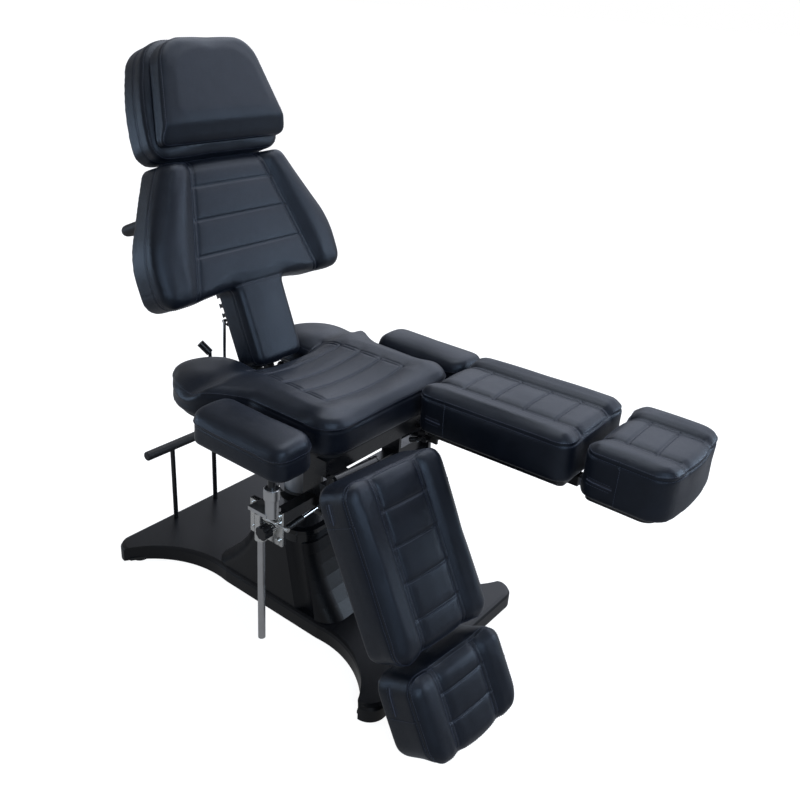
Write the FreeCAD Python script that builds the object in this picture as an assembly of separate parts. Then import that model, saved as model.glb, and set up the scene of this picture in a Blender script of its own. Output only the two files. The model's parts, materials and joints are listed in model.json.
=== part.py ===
import FreeCAD, Part
import math
import os

# Reclining hydraulic tattoo chair with split leg rests, millimetres.
# Frame: origin on the floor on the lift column's axis, +Z up, the sitter faces -Y, +X is the sitter's left.

os.makedirs("parts", exist_ok=True)
V = FreeCAD.Vector
X_AXIS = V(1, 0, 0)
Y_AXIS = V(0, 1, 0)
Z_AXIS = V(0, 0, 1)

# Base
base_front = 505.0
base_rear = 428.0
base_half_width = 300.0
waist_half_width = 170.0
base_height = 47.0
base_corner_radius = 42.0
floor_pad_height = 4.0
floor_pad_radius = 24.0
plate_thickness = 8.0
plate_inset = 12.0
parting_front = -255.0
parting_rear = 95.0
parting_gap = 0.3

# Housing over the pump
housing_half_width = 162.0
housing_top = 240.0
housing_front_top = -158.0
housing_rear_top = 45.0
housing_front_foot = -252.0
housing_rear_foot = 178.0
housing_corner_radius = 55.0
cap_rise = 36.0
flute_radius = 40.0

# Lift
cylinder_radius = 50.0
cylinder_top = 430.0
ram_radius = 30.0
ram_top = 478.0
lift_travel = 200.0

# Rear bar on the base
rear_bar_height = 284.0
rear_bar_y = 404.0
rear_bar_left = -193.0
rear_bar_right = 128.0
rear_post_places = (-106.0, 41.0)
rear_post_radius = 6.5
rear_grip_radius = 13.0

# Seat
seat_top = 644.0
seat_thickness = 81.0
board_thickness = 12.0
seat_front = 289.0
seat_half_width = 225.0
lobe_half_width = 290.0
lobe_rear = 262.0
lobe_middle = 88.0
notch_half_width = 84.0
notch_front = 62.0
soft_gap = 0.3
dish_depth = 12.0
seat_drop = 18.0
seat_drop_start = 40.0

# Seat frame
frame_height = 40.0
frame_rail_width = 25.0
frame_rail_spread = 130.0
front_tube_y = -255.0
front_tube_half_length = 215.0
rear_tube_y = 112.0

# Back
recline = 23.5
hinge_y = 137.6
hinge_z = 560.0
hinge_to_face = 84.0
hinge_pin_radius = 8.0
stem_half_width = 73.0
stem_bottom = 34.0
stem_top = 238.0
back_top = 540.0
back_half_width = 289.0
back_top_half_width = 184.0
back_bottom = 219.0
back_tube_depth = 20.0
back_tube_spread = 30.0
back_tube_width = 20.0

# Recline rack and prop
rack_thickness = 4.0
rack_pin_depth = -40.0
rack_pin_place = 158.5
rack_pitch = 25.0
rack_teeth = 7
rack_notch_radius = 8.5
prop_foot_y = 105.0
prop_foot_z = -44.0
prop_radius = 4.0
prop_tie_share = 0.12

# Headrest
head_bottom = 548.0
head_top = 806.0
head_half_width = 194.0
head_top_half_width = 150.0
head_thickness = 80.0
pillow_thickness = 47.0
head_post_radius = 7.0
head_post_spread = 70.0

# Armrests
arm_inner = 255.0
arm_width = 116.0
arm_front = 285.0
arm_rear = -10.0
arm_thickness = 82.0
arm_pivot_x = 313.0
arm_pivot_y = -205.0
arm_rod_radius = 8.75
arm_rod_x = 302.0
arm_rod_y = -160.0
arm_rod_bottom = 62.0
crossbar_y = -170.0
crossbar_z = 385.0
crossbar_size = 30.0

# Leg rests
leg_centre = 170.0
leg_half_width = 139.0
leg_length = 393.0
leg_thickness = 114.5
leg_hinge_y = -322.0
leg_hinge_z = 535.0
leg_back_step = 5.0
right_leg_angle = -61.0
left_leg_angle = 1.2
right_yoke_angle = -5.2
left_yoke_angle = 0.5
foot_length = 190.0
foot_half_width = 137.0
foot_thickness = 111.0
right_foot_angle = 0.5
left_foot_angle = -1.5

# Shared small sizes
bolt_radius = 4.0
bolt_head_radius = 7.0
bolt_head_height = 5.0
running_gap = 0.05
side_gap = 0.5
overrun = 2.0
channel_radius = 4.0
edge_roll = 14.0
side_draw = 4.0
foot_roll_share = 0.45
shoulder_share = 0.3


# Detail sizes

# Base
cover_top_roll = 10.0
flare_start_rear = 118.0
flare_start_front = -215.0
flare_waist_share = 0.24
cylinder_flange_radius = 82.0
cylinder_flange_height = 10.0
cavity_wall = 22.0
pump_height = 120.0
pedal_pivot_x = housing_half_width - 44.0
pedal_pivot_z = 84.0
pedal_slot_half_width = 16.0
pedal_slot_height = 42.0
sweep_power = 1.7
housing_steps = 6
cap_roll = 14.0
cap_inset = 3.0
collar_radius = 62.0
collar_rise = 12.0
flange_bolt_circle = 68.0
pump_block = (housing_half_width - 66.0, housing_half_width - 24.0, -70.0, -38.0)
pump_shaft_x = housing_half_width - 40.0
pump_shaft_radius = 6.0
pump_ear = (housing_half_width - 52.0, housing_half_width - 28.0, -22.0, -12.0)
reservoir_radius = 24.0
reservoir_place = (54.0 - housing_half_width, -98.0)
pedal_plate = (housing_half_width + 86.0, housing_half_width + 140.0, 36.0)
pedal_thickness = 6.0
pad_places = ((-1, 1), (1, 1), (-1, -1), (1, -1))
ram_engagement = 130.0
ram_flange_radius = 60.0
ram_flange_height = 12.0
spindle_radius = 18.0
core_radius = 8.0
hub_radius = 62.0
hub_height = 24.5
hub_plate_half = (142.5, 100.0)
hub_plate_height = 8.0
tube_half = 15.0
hinge_eye = 18.0
prop_eye = 11.0
hinge_plate_x = 55.0
hinge_plate_width = 6.0
prop_pin_radius = 5.0
recline_lever_reach = 80.0
yoke_pin_radius = 9.0
board_inset = 14.0
seat_seams = (-195.0, -125.0, -60.0, 5.0, 68.0)
bracket_stand = 27.0
bracket_plate = 5.0
bracket_face = (-203.0, -102.0, 330.0, 418.0)
flange_plate = 8.0
drop_plate = 8.0
drop_half = 28.0
screw_inset = 12.0
web_half = 10.0
sleeve_radius = 15.0
sleeve_low = 345.0
sleeve_high = 416.0
knob_y = -192.0
knob_z = 388.0
knob_boss_radius = 9.0
knob_boss_reach = 8.0
knob_stem_radius = 4.0
knob_radius = 17.5
knob_width = 24.0
knob_lobes = 8
knob_scallop = 6.0
pin_x = 303.5
pin_z = 407.5
pin_radius = 2.5
pin_boss_radius = 6.5
pin_boss_length = 52.0
pin_end = -238.0
pin_head_radius = 5.0
pin_head_length = 8.0
arm_plate_half = 22.0
arm_plate_low = 430.0
socket_low = 439.0
socket_step = 474.0
socket_high = 502.0
socket_radius_low = 15.0
socket_radius_high = 18.0
arm_post_radius = 9.0
arm_plate_height = 8.0
arm_carrier_half = 36.0
arm_corner = 30.0
arm_inner_corner = 46.0
arm_crown = 8.0
lock_pivot = (-120.0, -170.0)
lock_half = 15.0
lock_web = 12.0
lock_height = 34.0
lock_slot = 15.0
lock_hub_radius = 10.0
lock_rod_radius = 4.5
lock_grip_start = (-187.0, -176.0)
lock_grip_end = -243.0
lock_grip_radius = 8.5

# Back
back_gap = 1.5
back_lobe_radius = 38.0
back_shoulder = 345.0
back_shoulder_radius = 80.0
back_corner_radius = 24.0
back_crown = 10.0
back_board_top = 4.0
back_board_bottom = -8.0
stem_board_half = 52.5
back_sleeve_radius = 12.0
back_sleeve_half = 53.5
back_tube_top = 500.0
back_bars = ((262.0, 282.0, 200.0), (462.0, 482.0, 180.0))
back_seam_top = (108.0, 527.0)
back_seam_foot = (188.0, 254.0)
back_cross_seams = (320.0, 402.0, 478.0)
head_sleeves = ((420.0, 450.0), (465.0, 500.0))
head_sleeve_radius = 10.5
head_post_depth = -19.0
rack_low = 142.0
rack_high = 312.0
rack_rear = -50.0
handle_spread = 215.0
handle_place = 426.0
handle_depth = -106.0
handle_radius = 13.0
handle_bend = 32.0
prop_spread = 50.0
prop_eye_radius = 8.0
prop_eye_half = 3.8
lever_x = -86.0
lever_rise = 96.0
lever_set_back = 12.0
lever_radius = 4.5
lever_grip_radius = 9.8
lever_grip_tip = (-101.0, 30.0, 116.0)

# Headrest
head_corner_low = 38.0
head_corner_high = 80.0
head_hinge_place = 590.0
head_post_low = 340.0
head_lug = (20.0, 60.0)
head_lug_radius = 10.0
head_pin_radius = 6.0
head_crown = 6.0
pillow_low = 572.0
pillow_high = 791.0
pillow_half_width = 186.0
pillow_top_half_width = 140.0
pillow_crease = 613.0
pillow_bevel = 15.0

# Leg rests
yoke_low = 494.0
yoke_gap = 0.3
yoke_ear_x = 59.0
yoke_ear_width = 6.0
yoke_ear_radius = 13.0
yoke_back = 22.0
yoke_tongue_half = 24.0
leg_pin_radius = 7.0
leg_sleeve_radius = 12.0
leg_sleeve_half = 58.0
leg_tube_spread = 45.0
leg_tube = 25.0
leg_tube_bore = 20.0
leg_tube_short = 13.0
leg_tube_length = leg_length - leg_tube_short
leg_board = 12.5
leg_crown = 12.0
leg_corner = 32.0
leg_seam_spread = 65.0
seam_reach = leg_seam_spread - channel_radius / 2
leg_sections = 5
foot_hinge_step = 12.0
foot_hinge = leg_length - leg_back_step + foot_hinge_step
foot_bar = 18.0
foot_bar_hold = 150.0
foot_bar_start = foot_hinge - foot_bar_hold
foot_pin_radius = 6.0
foot_pin_half = 58.0
foot_sleeve_radius = 10.0
foot_sleeve_half = 35.0
foot_board_low = 7.0
foot_board_high = 19.0
foot_rear = 8.0
foot_corner = 45.0
foot_bulge_angle = 10
foot_sections = 3
foot_arm = (20.0, 34.0, 70.0)
lock_lever_x = 66.0
lock_lever_place = (-50.0, 502.0)
lock_lever_tip = (-8.0, 484.0)


def wire_of(start, *steps):
    """Closed wire through ("L", end) lines and ("A", middle, end) arcs of x, y pairs."""
    edges = []
    here = V(start[0], start[1], 0)
    for step in steps:
        end = V(step[-1][0], step[-1][1], 0)
        if step[0] == "L":
            edges.append(Part.LineSegment(here, end).toShape())
        else:
            middle = V(step[1][0], step[1][1], 0)
            edges.append(Part.Arc(here, middle, end).toShape())
        here = end
    return Part.Wire(edges)


def slab(wire, low, high):
    face = Part.Face(wire)
    face.translate(V(0, 0, low))
    return face.extrude(V(0, 0, high - low))


def box(x0, x1, y0, y1, z0, z1):
    return Part.makeBox(x1 - x0, y1 - y0, z1 - z0, V(x0, y0, z0))


def rod(radius, start, end):
    start = V(*start)
    end = V(*end)
    return Part.makeCylinder(radius, (end - start).Length, start, end - start)


def fused(shapes):
    return shapes[0].fuse(shapes[1:]).removeSplitter()


def group(shapes):
    return Part.makeCompound(shapes)


def corner(centre_x, centre_y, radius, angle):
    turn = math.radians(angle)
    return (centre_x + radius * math.cos(turn), centre_y + radius * math.sin(turn))


def rounded_rectangle(x0, x1, y0, y1, r):
    quarter = 45
    return wire_of(
        (x0 + r, y0),
        ("L", (x1 - r, y0)),
        ("A", corner(x1 - r, y0 + r, r, -quarter), (x1, y0 + r)),
        ("L", (x1, y1 - r)),
        ("A", corner(x1 - r, y1 - r, r, quarter), (x1 - r, y1)),
        ("L", (x0 + r, y1)),
        ("A", corner(x0 + r, y1 - r, r, 180 - quarter), (x0, y1 - r)),
        ("L", (x0, y0 + r)),
        ("A", corner(x0 + r, y0 + r, r, 180 + quarter), (x0 + r, y0)),
    )


def arc_points(centre_x, centre_y, radius, start, end, convex=True):
    """Start, middle and end of an arc as outline points with their outward normals."""
    turn = 0 if convex else 180
    angles = (start, (start + end) / 2, end)
    places = [corner(centre_x, centre_y, radius, angle) for angle in angles]
    return [(place[0], place[1], angle + turn, angle == angles[1]) for place, angle in zip(places, angles)]


def mirrored(points):
    """Half outline from the centre line round +X and back, with its mirror image added."""
    other = [(-x, y, 180 - angle, bend) for x, y, angle, bend in reversed(points)]
    return points + other[1:]


def contour(points, inset):
    """Closed wire through outline points moved inward along their normals."""
    edges = []
    here = None
    middle = None
    for x, y, angle, bend in points:
        turn = math.radians(angle)
        place = V(x - inset * math.cos(turn), y - inset * math.sin(turn), 0)
        if bend:
            middle = place
            continue
        if here is not None and (place - here).Length > running_gap:
            if middle is not None:
                edges.append(Part.Arc(here, middle, place).toShape())
            else:
                edges.append(Part.LineSegment(here, place).toShape())
        here = place
        middle = None
    return Part.Wire(edges)


def stack(outline, levels):
    """Ruled loft through the outline at (height, inset) levels."""
    wires = []
    for height, inset in levels:
        wire = outline(inset)
        wire.translate(V(0, 0, height))
        wires.append(wire)
    return Part.makeLoft(wires, True, True)


def cushion_levels(bottom, top):
    """A soft side that rolls in below, pulls in at mid height and rolls over above."""
    middle = (bottom + top) / 2
    return (
        (bottom, edge_roll * foot_roll_share),
        (bottom + edge_roll * foot_roll_share, 0),
        (middle, side_draw),
        (top - edge_roll, 0),
        (top - edge_roll * shoulder_share, edge_roll * (1 - shoulder_share)),
        (top, edge_roll),
    )


def crowned(body, half_width, top, rise, y0, y1):
    """Cut the top of a cushion to a cylinder that crowns it by the given rise across X."""
    radius = (half_width ** 2 + rise ** 2) / (2 * rise)
    height = top - radius
    keep = Part.makeCylinder(radius, y1 - y0 + 2 * overrun, V(0, y0 - overrun, height), Y_AXIS)
    return body.common(keep)


def cross_channel(half_width, top, rise, y, x_reach):
    """Sewn channel across a crowned cushion, following its crown."""
    radius = (half_width ** 2 + rise ** 2) / (2 * rise)
    centre = V(0, y, top - radius)
    ring = Part.makeTorus(radius, channel_radius, centre, Y_AXIS, 0, 360)
    keep = box(-x_reach, x_reach, y - 2 * channel_radius, y + 2 * channel_radius,
               top - 2 * rise - channel_radius,
               top + 2 * channel_radius)
    return ring.common(keep)


def crown_height(half_width, top, rise, x):
    radius = (half_width ** 2 + rise ** 2) / (2 * rise)
    return top - radius + math.sqrt(radius ** 2 - x ** 2)


def placed(shape, origin, angle_x, angle_z=0):
    turn = FreeCAD.Rotation(Z_AXIS, angle_z).multiply(FreeCAD.Rotation(X_AXIS, angle_x))
    shape = shape.copy()
    shape.Placement = FreeCAD.Placement(V(*origin), turn).multiply(shape.Placement)
    return shape


def sewn(body, channels):
    """Cut the channels one after another and drop the slivers where they cross."""
    for channel in channels:
        body = body.cut(channel)
    return max(body.Solids, key=lambda solid: solid.Volume)


def save(name, shape):
    shape.exportStep("parts/" + name + ".step")
    print(name, len(shape.Solids), round(shape.Volume / 1000), shape.isValid())


def base_outline(inset):
    """H-shaped plan: two flared feet joined by a narrow waist."""
    half = base_half_width - inset
    waist = waist_half_width - inset
    front = base_front - inset
    rear = base_rear - inset
    r = base_corner_radius
    bend = waist + (half - waist) * flare_waist_share
    rear_mid = flare_start_rear + (rear - r - flare_start_rear) * 0.62
    front_mid = flare_start_front - (front - r + flare_start_front) * 0.62
    diagonal = r * math.sqrt(0.5)
    return wire_of(
        (-half + r, rear),
        ("A", (-half + r - diagonal, rear - r + diagonal), (-half, rear - r)),
        ("A", (-bend, rear_mid), (-waist, flare_start_rear)),
        ("L", (-waist, flare_start_front)),
        ("A", (-bend, front_mid), (-half, -front + r)),
        ("A", (-half + r - diagonal, -front + r - diagonal), (-half + r, -front)),
        ("L", (half - r, -front)),
        ("A", (half - r + diagonal, -front + r - diagonal), (half, -front + r)),
        ("A", (bend, front_mid), (waist, flare_start_front)),
        ("L", (waist, flare_start_rear)),
        ("A", (bend, rear_mid), (half, rear - r)),
        ("A", (half - r + diagonal, rear - r + diagonal), (half - r, rear)),
        ("L", (-half + r, rear)),
    )


def plate_low():
    return floor_pad_height


def plate_high():
    return floor_pad_height + plate_thickness


def pad_centre(side_x, side_y):
    reach = base_rear if side_y > 0 else base_front
    inset = plate_inset + floor_pad_radius + base_corner_radius * 0.3
    return side_x * (base_half_width - inset), side_y * (reach - inset)


def make_base():
    pads = [rod(floor_pad_radius, (0, 0, 0), (0, 0, plate_low()))]
    for side_x, side_y in pad_places:
        x, y = pad_centre(side_x, side_y)
        pads.append(rod(floor_pad_radius, (x, y, 0), (x, y, plate_low())))
    save("floor_pads", group(pads))
    plate = slab(base_outline(plate_inset), plate_low(), plate_high())
    save("base_plate", plate)
    body = stack(base_outline, (
        (floor_pad_height, 0),
        (base_height - cover_top_roll, 0),
        (base_height - cover_top_roll * 0.3, cover_top_roll * 0.3),
        (base_height, cover_top_roll),
    ))
    body = body.cut(slab(base_outline(plate_inset - side_gap), 0, plate_high() + running_gap))
    far = base_half_width + overrun
    rear_piece = body.common(box(-far, far, parting_rear + parting_gap, base_rear + overrun, 0,
                                 base_height + overrun))
    front_piece = body.common(box(-far, far, -base_front - overrun, parting_front - parting_gap, 0,
                                  base_height + overrun))
    centre = body.common(box(-far, far, parting_front, parting_rear, 0, base_height + overrun))
    housing = make_housing()
    centre = centre.fuse(housing)
    rear_piece = rear_piece.cut(housing_block(parting_gap))
    cavity = box(-housing_half_width + cavity_wall, housing_half_width - cavity_wall,
                 housing_front_top + cavity_wall, housing_rear_top - cavity_wall / 2, 0, housing_top - cavity_wall)
    bore = rod(cylinder_radius + side_gap, (0, 0, 0), (0, 0, housing_top + overrun))
    flange = rod(cylinder_flange_radius + side_gap, (0, 0, 0),
                 (0, 0, plate_high() + cylinder_flange_height + bolt_head_height + overrun))
    centre = centre.cut(cavity).cut(bore).cut(flange)
    slot = box(pedal_pivot_x, housing_half_width + cap_rise, -pedal_slot_half_width, pedal_slot_half_width,
               pedal_pivot_z - pedal_slot_height, pedal_pivot_z + pedal_slot_height / 3)
    centre = centre.cut(slot)
    posts = [rod(rear_post_radius + side_gap, (x, rear_bar_y, 0), (x, rear_bar_y, base_height + overrun))
             for x in rear_post_places]
    rear_piece = rear_piece.cut(group(posts))
    save("rear_cover", rear_piece)
    save("centre_cover", centre)
    save("front_cover", front_piece)


def arc_offset(height, share_out, low, high):
    """Sweep of a concave side between two heights, 0 at the top and 1 at the foot."""
    rise = (high - height) / (high - low)
    return rise ** share_out


def housing_level(height, grow):
    """Rounded plan of the housing at one height; its front and rear sweep outward to the foot."""
    low = base_height
    share = arc_offset(max(height, low), sweep_power, low, housing_top)
    front = housing_front_top + (housing_front_foot - housing_front_top) * share
    rear = housing_rear_top + (housing_rear_foot - housing_rear_top) * share
    half = housing_half_width + grow
    wire = rounded_rectangle(-half, half, front - grow, rear + grow, housing_corner_radius)
    wire.translate(V(0, 0, height))
    return wire


def housing_block(grow):
    low = plate_high() + running_gap
    steps = housing_steps
    heights = [low] + [base_height + (housing_top - base_height) * step / steps for step in range(steps + 1)]
    return Part.makeLoft([housing_level(height, grow) for height in heights], True, True)


def make_housing():
    block = housing_block(0)
    lean = (housing_front_top - housing_front_foot) * 0.6
    for side in (-1, 1):
        x = side * (housing_half_width + flute_radius * 0.55)
        top = (x, housing_front_top + flute_radius, housing_top + flute_radius)
        foot = (x, housing_front_top + flute_radius - lean, base_height - flute_radius)
        block = block.cut(rod(flute_radius, foot, top))
    return block


def make_cap():
    front = housing_front_top + cap_inset
    rear = housing_rear_top - cap_inset
    half = housing_half_width - cap_inset

    def outline(inset):
        return rounded_rectangle(-half + inset, half - inset, front + inset, rear - inset,
                                 housing_corner_radius - inset)

    top = housing_top + cap_rise
    body = stack(outline, (
        (housing_top, 0),
        (top - cap_roll, 0),
        (top - cap_roll * 0.4, cap_roll * 0.25),
        (top, cap_roll),
    ))
    body = body.fuse(rod(collar_radius, (0, 0, housing_top), (0, 0, top + collar_rise)))
    save("housing_cap", body.cut(rod(cylinder_radius + side_gap, (0, 0, 0),
                                     (0, 0, top + collar_rise + overrun))))


def flange_bolt_places():
    return [corner(0, 0, flange_bolt_circle, 45 + 90 * step) for step in range(4)]


def make_lift():
    low = plate_high()
    flange_top = low + cylinder_flange_height
    cylinder = rod(cylinder_radius, (0, 0, low), (0, 0, cylinder_top))
    cylinder = cylinder.fuse(rod(cylinder_flange_radius, (0, 0, low), (0, 0, flange_top)))
    cylinder = cylinder.cut(rod(ram_radius + running_gap, (0, 0, low + cylinder_flange_height / 2),
                                (0, 0, cylinder_top + overrun)))
    bolts = []
    for x, y in flange_bolt_places():
        cylinder = cylinder.cut(rod(bolt_radius + running_gap, (x, y, 0), (x, y, flange_top + overrun)))
        bolts.append(rod(bolt_radius, (x, y, low), (x, y, flange_top)).fuse(
            rod(bolt_head_radius, (x, y, flange_top), (x, y, flange_top + bolt_head_height))))
    save("lift_cylinder", cylinder)
    save("base_bolts", group(bolts))
    ram = rod(ram_radius, (0, 0, cylinder_top - lift_travel - ram_engagement), (0, 0, ram_top))
    ram = ram.fuse(rod(ram_flange_radius, (0, 0, ram_top - ram_flange_height), (0, 0, ram_top)))
    ram = ram.fuse(rod(spindle_radius, (0, 0, ram_top), (0, 0, ram_top + hub_height)))
    save("lift_ram", ram)


def make_pump():
    low = plate_high()
    x0, x1, y0, y1 = pump_block
    shaft_z = pedal_pivot_z
    body = box(x0, x1, y0, y1, low, shaft_z + bolt_radius * 4)
    ex0, ex1, ey0, ey1 = pump_ear
    ear = box(ex0, ex1, ey0, ey1, low, shaft_z + bolt_radius * 3)
    foot = box(ex0, ex1, y0, ey1, low, low + plate_thickness)
    x, y = reservoir_place
    tank = rod(reservoir_radius, (x, y, low), (x, y, low + pump_height))
    link = box(x, x0 + overrun, y - plate_thickness, y, low, low + plate_thickness)
    turn = box(x0, x0 + plate_thickness * 2, y - plate_thickness, y0 + overrun, low, low + plate_thickness)
    unit = fused([body, ear, foot, tank, link, turn])
    unit = unit.cut(rod(pump_shaft_radius + running_gap, (pump_shaft_x, y0 - overrun, shaft_z),
                        (pump_shaft_x, ey1 + overrun, shaft_z)))
    save("pump_unit", unit)
    shaft = rod(pump_shaft_radius, (pump_shaft_x, y0 + bolt_radius, shaft_z),
                (pump_shaft_x, bolt_radius * 2, shaft_z))
    px0, px1, half = pedal_plate
    arm = box(pump_shaft_x - pump_shaft_radius, px0 + overrun, -pump_shaft_radius, pump_shaft_radius,
              shaft_z - pump_shaft_radius, shaft_z + pump_shaft_radius)
    plate = box(px0, px1, -half, half, shaft_z - pump_shaft_radius, shaft_z)
    save("pedal_lever", fused([shaft, arm, plate]))
    pad = box(px0 + overrun * 2, px1 + overrun, -half + overrun, half - overrun, shaft_z,
              shaft_z + pedal_thickness)
    pad = pad.makeFillet(overrun, [edge for edge in pad.Edges if edge.BoundBox.ZMin > shaft_z + overrun])
    save("pedal_pad", pad)


def make_rear_bar():
    ends = (rear_bar_left + bolt_radius, rear_bar_right - bolt_radius)
    parts = [rod(core_radius, (ends[0], rear_bar_y, rear_bar_height),
                 (ends[1], rear_bar_y, rear_bar_height))]
    for x in rear_post_places:
        parts.append(rod(rear_post_radius, (x, rear_bar_y, plate_high()), (x, rear_bar_y, rear_bar_height)))
    save("rear_bar", fused(parts))
    grip = rod(rear_grip_radius, (rear_bar_left, rear_bar_y, rear_bar_height),
               (rear_bar_right, rear_bar_y, rear_bar_height))
    grip = grip.makeFillet(rear_grip_radius * 0.3, [edge for edge in grip.Edges if edge.Closed])
    grip = grip.cut(rod(core_radius, (ends[0], rear_bar_y, rear_bar_height),
                        (ends[1], rear_bar_y, rear_bar_height)))
    for x in rear_post_places:
        grip = grip.cut(rod(rear_post_radius, (x, rear_bar_y, plate_high()),
                            (x, rear_bar_y, rear_bar_height)))
    save("rear_bar_grip", grip)


# Seat
def frame_low():
    return ram_top + side_gap + hub_height + hub_plate_height


def frame_high():
    return frame_low() + frame_height


def side_plate(points, x0, x1):
    """Plate between two x planes with an outline given as y, z pairs."""
    wire = Part.makePolygon([V(x0, y, z) for y, z in points + [points[0]]])
    return Part.Face(wire).extrude(V(x1 - x0, 0, 0))


def make_hub():
    low = ram_top + side_gap
    hub = rod(hub_radius, (0, 0, low), (0, 0, low + hub_height))
    half_x, half_y = hub_plate_half
    plate = box(-half_x, half_x, -half_y, half_y, low + hub_height, low + hub_height + hub_plate_height)
    bore = rod(spindle_radius + running_gap, (0, 0, low - overrun), (0, 0, low + hub_height + side_gap))
    save("swivel_hub", fused([hub, plate]).cut(bore))


def hinge_plate(x0, x1):
    py = hinge_y
    pz = hinge_z
    sy = hinge_y + prop_foot_y
    sz = hinge_z + prop_foot_z
    low = frame_low()
    points = [
        (rear_tube_y - tube_half, low),
        (py + hinge_eye, low),
        (sy, sz - prop_eye),
        (sy, sz + prop_eye),
        (py, pz - bolt_radius),
        (rear_tube_y - tube_half, pz - hinge_eye / 2),
    ]
    plate = side_plate(points, x0, x1)
    eye = rod(hinge_eye, (x0, py, pz), (x1, py, pz))
    foot = rod(prop_eye, (x0, sy, sz), (x1, sy, sz))
    return fused([plate, eye, foot])


def make_seat_frame():
    low = frame_low()
    high = frame_high()
    half = frame_rail_width / 2
    parts = []
    for side in (-1, 1):
        x = side * frame_rail_spread
        parts.append(box(x - half, x + half, front_tube_y - tube_half, rear_tube_y + tube_half, low, high))
    parts.append(box(-front_tube_half_length, front_tube_half_length, front_tube_y - tube_half,
                     front_tube_y + tube_half, low, high))
    reach = frame_rail_spread + half
    parts.append(box(-reach, reach, rear_tube_y - tube_half, rear_tube_y + tube_half, low, high))
    for side in (-1, 1):
        parts.append(hinge_plate(side * hinge_plate_x, side * (hinge_plate_x + hinge_plate_width)))
    reach = hinge_plate_x + hinge_plate_width + bolt_head_height
    parts.append(rod(hinge_pin_radius, (-reach, hinge_y, hinge_z), (reach, hinge_y, hinge_z)))
    sy = hinge_y + prop_foot_y
    sz = hinge_z + prop_foot_z
    parts.append(rod(prop_pin_radius, (-recline_lever_reach, sy, sz), (reach, sy, sz)))
    frame = fused(parts)
    for side in (-1, 1):
        frame = frame.cut(rod(yoke_pin_radius + running_gap,
                              (side * leg_centre, front_tube_y, low - overrun),
                              (side * leg_centre, front_tube_y, high + overrun)))
    save("seat_frame", frame)


def seat_points():
    w = seat_half_width
    lobe = lobe_half_width
    notch = notch_half_width
    r = 55.0
    points = [(0, -seat_front, -90, False)]
    points += arc_points(w - r, -seat_front + r, r, -90, 0)
    points.append((w, -45, 0, False))
    points.append((w + (lobe - w) * 0.28, 5, -18, True))
    points.append((w + (lobe - w) * 0.62, 38, -35, False))
    points.append((lobe - 6, 62, -20, True))
    points.append((lobe, lobe_middle, 0, False))
    points.append((lobe - 12, 152, 11, True))
    points.append((lobe - 49, 200, 32, False))
    points.append((lobe - 84, 244, 60, True))
    points.append((lobe - 126, lobe_rear, 90, False))
    points.append((notch + 36, 243, 128, True))
    points.append((notch + 8, 205, 155, False))
    points.append((notch + 2, 185, 168, True))
    points.append((notch, 165, 180, False))
    points += arc_points(notch - 20, notch_front + 20, 20, 0, -90, False)
    points.append((0, notch_front, 90, False))
    return mirrored(points)


def seat_outline(inset):
    return contour(seat_points(), inset)


def dish_radius():
    return (frame_rail_spread ** 2 + dish_depth ** 2) / (2 * dish_depth)


def make_seat():
    low = frame_high() + soft_gap
    board = slab(seat_outline(board_inset), low, low + board_thickness - soft_gap)
    save("seat_board", board)
    bottom = seat_top - seat_thickness + soft_gap
    body = stack(seat_outline, cushion_levels(bottom, seat_top))
    radius = dish_radius()
    axis_z = seat_top - dish_depth + radius
    dish = Part.makeCylinder(radius, seat_front + lobe_rear + 4 * overrun,
                             V(0, -seat_front - 2 * overrun, axis_z), Y_AXIS)
    body = body.cut(dish)
    channels = []
    limit = box(-frame_rail_spread, frame_rail_spread, -seat_front, lobe_rear, seat_top - 2 * dish_depth,
                seat_top + channel_radius)
    for y in seat_seams:
        ring = Part.makeTorus(radius, channel_radius, V(0, y, axis_z), Y_AXIS, 0, 360)
        channels.append(ring.common(limit))
    for side in (-1, 1):
        x = side * (frame_rail_spread + channel_radius)
        channels.append(rod(channel_radius, (x, seat_seams[0], seat_top), (x, seat_seams[-1], seat_top)))
    drop_run = lobe_rear - seat_drop_start
    drop_angle = -math.degrees(math.atan(seat_drop / drop_run))
    wedge = box(-lobe_half_width - overrun, lobe_half_width + overrun, 0, 2 * drop_run, 0, seat_thickness)
    body = body.cut(placed(wedge, (0, seat_drop_start, seat_top), drop_angle))
    save("seat_cushion", sewn(body, channels))


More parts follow.
